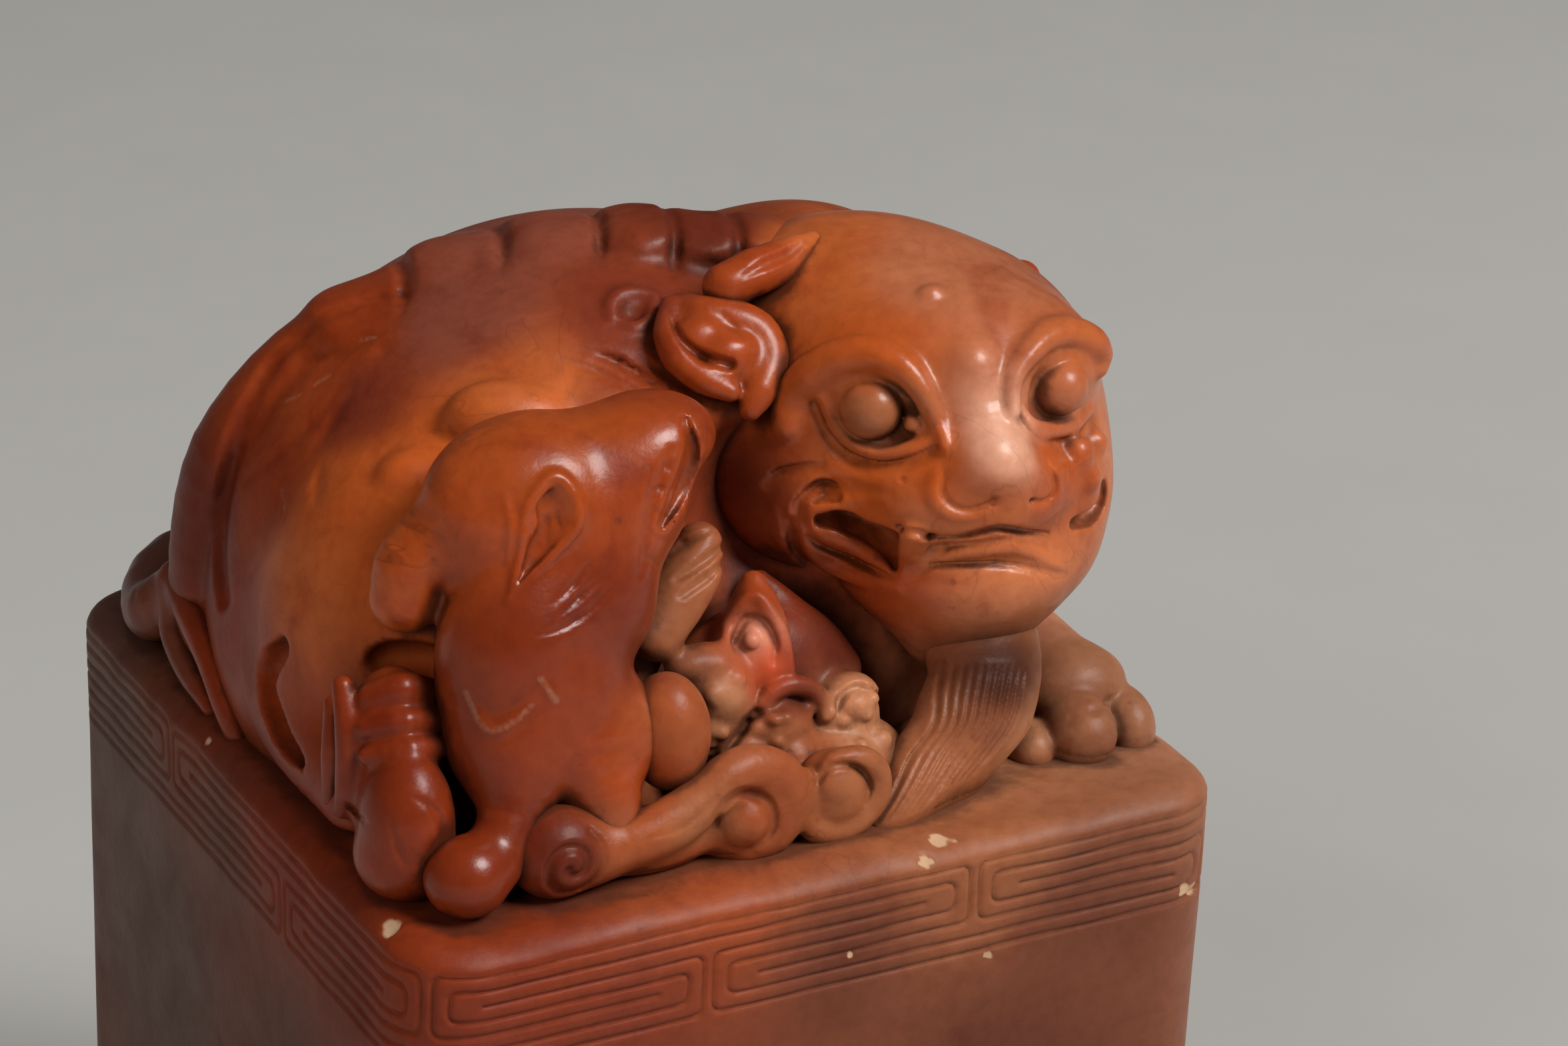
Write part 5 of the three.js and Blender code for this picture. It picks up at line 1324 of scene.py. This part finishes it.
def face_bars():
    """Middle and half size of each bar of one quarter's meander, turned four ways, and the cross."""
    near, step = BAR_WIDTH / 2 + BAR_GAP, BAR_WIDTH + BAR_GAP
    far = FIELD_HALF - BAR_GAP
    quarter = [
        (near, near + BAR_WIDTH, BAR_WIDTH / 2, far),
        (near + BAR_WIDTH, far, far - BAR_WIDTH, far),
        (far - BAR_WIDTH, far, near, far - BAR_WIDTH),
        (near + step, far - BAR_WIDTH, near, near + BAR_WIDTH),
        (near + step, near + step + BAR_WIDTH, near + BAR_WIDTH, far - step),
    ]
    middles = [(0.0, 0.0)]
    sizes = [(2 * FIELD_HALF, BAR_WIDTH)]
    for way in (-1, 1):
        middles.append((0.0, way * (FIELD_HALF + BAR_WIDTH / 2) / 2))
        sizes.append((BAR_WIDTH, FIELD_HALF - BAR_WIDTH / 2))
    for sx in (-1, 1):
        for sy in (-1, 1):
            for x0, x1, y0, y1 in quarter:
                middles.append((sx * (x0 + x1) / 2, sy * (y0 + y1) / 2))
                sizes.append((x1 - x0, y1 - y0))
    return middles, sizes


points, faces, run, drop, facing, marks = block_mesh()
bare = np.zeros(len(points))
block = piece_of("carved_block", points, faces, {"tint": tint(points, 14.0), "bruise": marks, "run": run,
                 "drop": drop, "facing": facing, "hollow": bare})
normals = np.zeros(len(points) * 3, np.float32)
block.data.vertices.foreach_get("normal", normals)
shade = hollow(points, normals.reshape(-1, 3).astype(float), carvings)
block.data.attributes["hollow"].data.foreach_set("value", shade.astype(np.float32))
block.data.materials.append(STONES["block_stone"])
lines = fret_unit_lines()
grown(block, engraving(lines), {"Unit pair": 2 * FRET_PITCH, "Groove width": GROOVE_WIDTH,
                                "Groove depth": GROOVE_DEPTH, "Lines": lines,
                                "Stone": STONES["block_stone"]})
bpy.data.objects.remove(lines)
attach(block, "root")
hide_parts("seal_block")

middles, sizes = face_bars()
spots = np.array([(x, y, -BLOCK_HEIGHT + FACE_SUNK / 2 + BAR_BITE / 2) for x, y in middles])
sizes = np.array([(x * MM, y * MM, 1.0) for x, y in sizes])
layers = {"bar_size": sizes, "tint": tint(spots), "hollow": np.zeros(len(spots)),
          "bruise": np.zeros(len(spots))}
bars = piece_of("printing_bars", spots, [], layers)
grown(bars, relief_bars(), {"Bar height": (FACE_SUNK + BAR_BITE) * MM, "Stone": STONES["block_stone"]})
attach(bars, "root")


# Floor, lights and camera.
def floor():
    mesh = bpy.data.meshes.new("floor")
    reach = 3.0
    mesh.from_pydata([(-reach, -reach, 0), (reach, -reach, 0), (reach, reach, 0), (-reach, reach, 0)], [],
                     [(0, 1, 2, 3)])
    sheet = bpy.data.objects.new("floor", mesh)
    bpy.context.scene.collection.objects.link(sheet)
    paper = bpy.data.materials.new("pale_paper")
    paper.use_nodes = True
    b = Board(paper.node_tree)
    shader = paper.node_tree.nodes["Principled BSDF"]
    speck = b.noise(b.put("ShaderNodeTexCoord").outputs["Object"], 60.0, 4.0)
    dull, bright = (181, 179, 175), (186, 184, 180)
    tone = b.mix(speck, (*to_linear(dull), 1), (*to_linear(bright), 1))
    paper.node_tree.links.new(tone, shader.inputs["Base Color"])
    shader.inputs["Roughness"].default_value = 0.9
    shader.inputs["Specular IOR Level"].default_value = 0.1
    mesh.materials.append(paper)


# The point in the knob that the lamps face.
LIT = (0.0, 0.0, 0.055)


def softbox(name, way, distance, size, watts, colour, mirrored=True):
    """A round lamp, so far from the knob along way, that faces it."""
    lamp = bpy.data.lights.new(name, "AREA")
    lamp.shape = "ELLIPSE"
    lamp.size, lamp.size_y = size
    lamp.energy = watts
    lamp.color = colour
    box = bpy.data.objects.new(name, lamp)
    away = unit(way)
    side = unit(np.cross(UP, away))
    rise = np.cross(away, side)
    box.visible_glossy = mirrored
    box.matrix_world = Matrix([[side[k], rise[k], away[k], LIT[k] + away[k] * distance] for k in range(3)]
                              + [[0, 0, 0, 1]])
    bpy.context.scene.collection.objects.link(box)


def camera():
    """The photograph's view: from the front left, 23.6 degrees above, with a slight roll."""
    back = np.array((-0.4554, -0.7952, 0.4003))
    right = np.array((0.8758, -0.4810, 0.0408))
    up = np.cross(back, right)
    looked_at, distance = np.array((7.6, 0.0, 6.6 + BLOCK_HEIGHT)) * MM, 0.2
    spot = looked_at + back * distance
    lens = bpy.data.cameras.new("camera")
    lens.lens = 100.0
    lens.sensor_width = 36.0
    lens.sensor_fit = "HORIZONTAL"
    lens.clip_start = 0.01
    eye = bpy.data.objects.new("camera", lens)
    eye.matrix_world = Matrix([[right[k], up[k], back[k], spot[k]] for k in range(3)] + [[0, 0, 0, 1]])
    bpy.context.scene.collection.objects.link(eye)
    bpy.context.scene.camera = eye


floor()
softbox("key_light", (0.40, -0.56, 0.73), 1.0, (0.44, 0.44), 11.2, (1.0, 0.985, 0.96))
softbox("fill_light", (-0.75, -0.45, 0.50), 1.1, (0.7, 0.6), 4.8, (0.98, 0.98, 1.0), False)
camera()
world = bpy.data.worlds.new("studio")
world.use_nodes = True
sky = world.node_tree.nodes["Background"]
sky.inputs["Color"].default_value = (0.93, 0.96, 1.0, 1)
sky.inputs["Strength"].default_value = 0.05
bpy.context.scene.world = world
bpy.context.scene.view_settings.view_transform = "Standard"
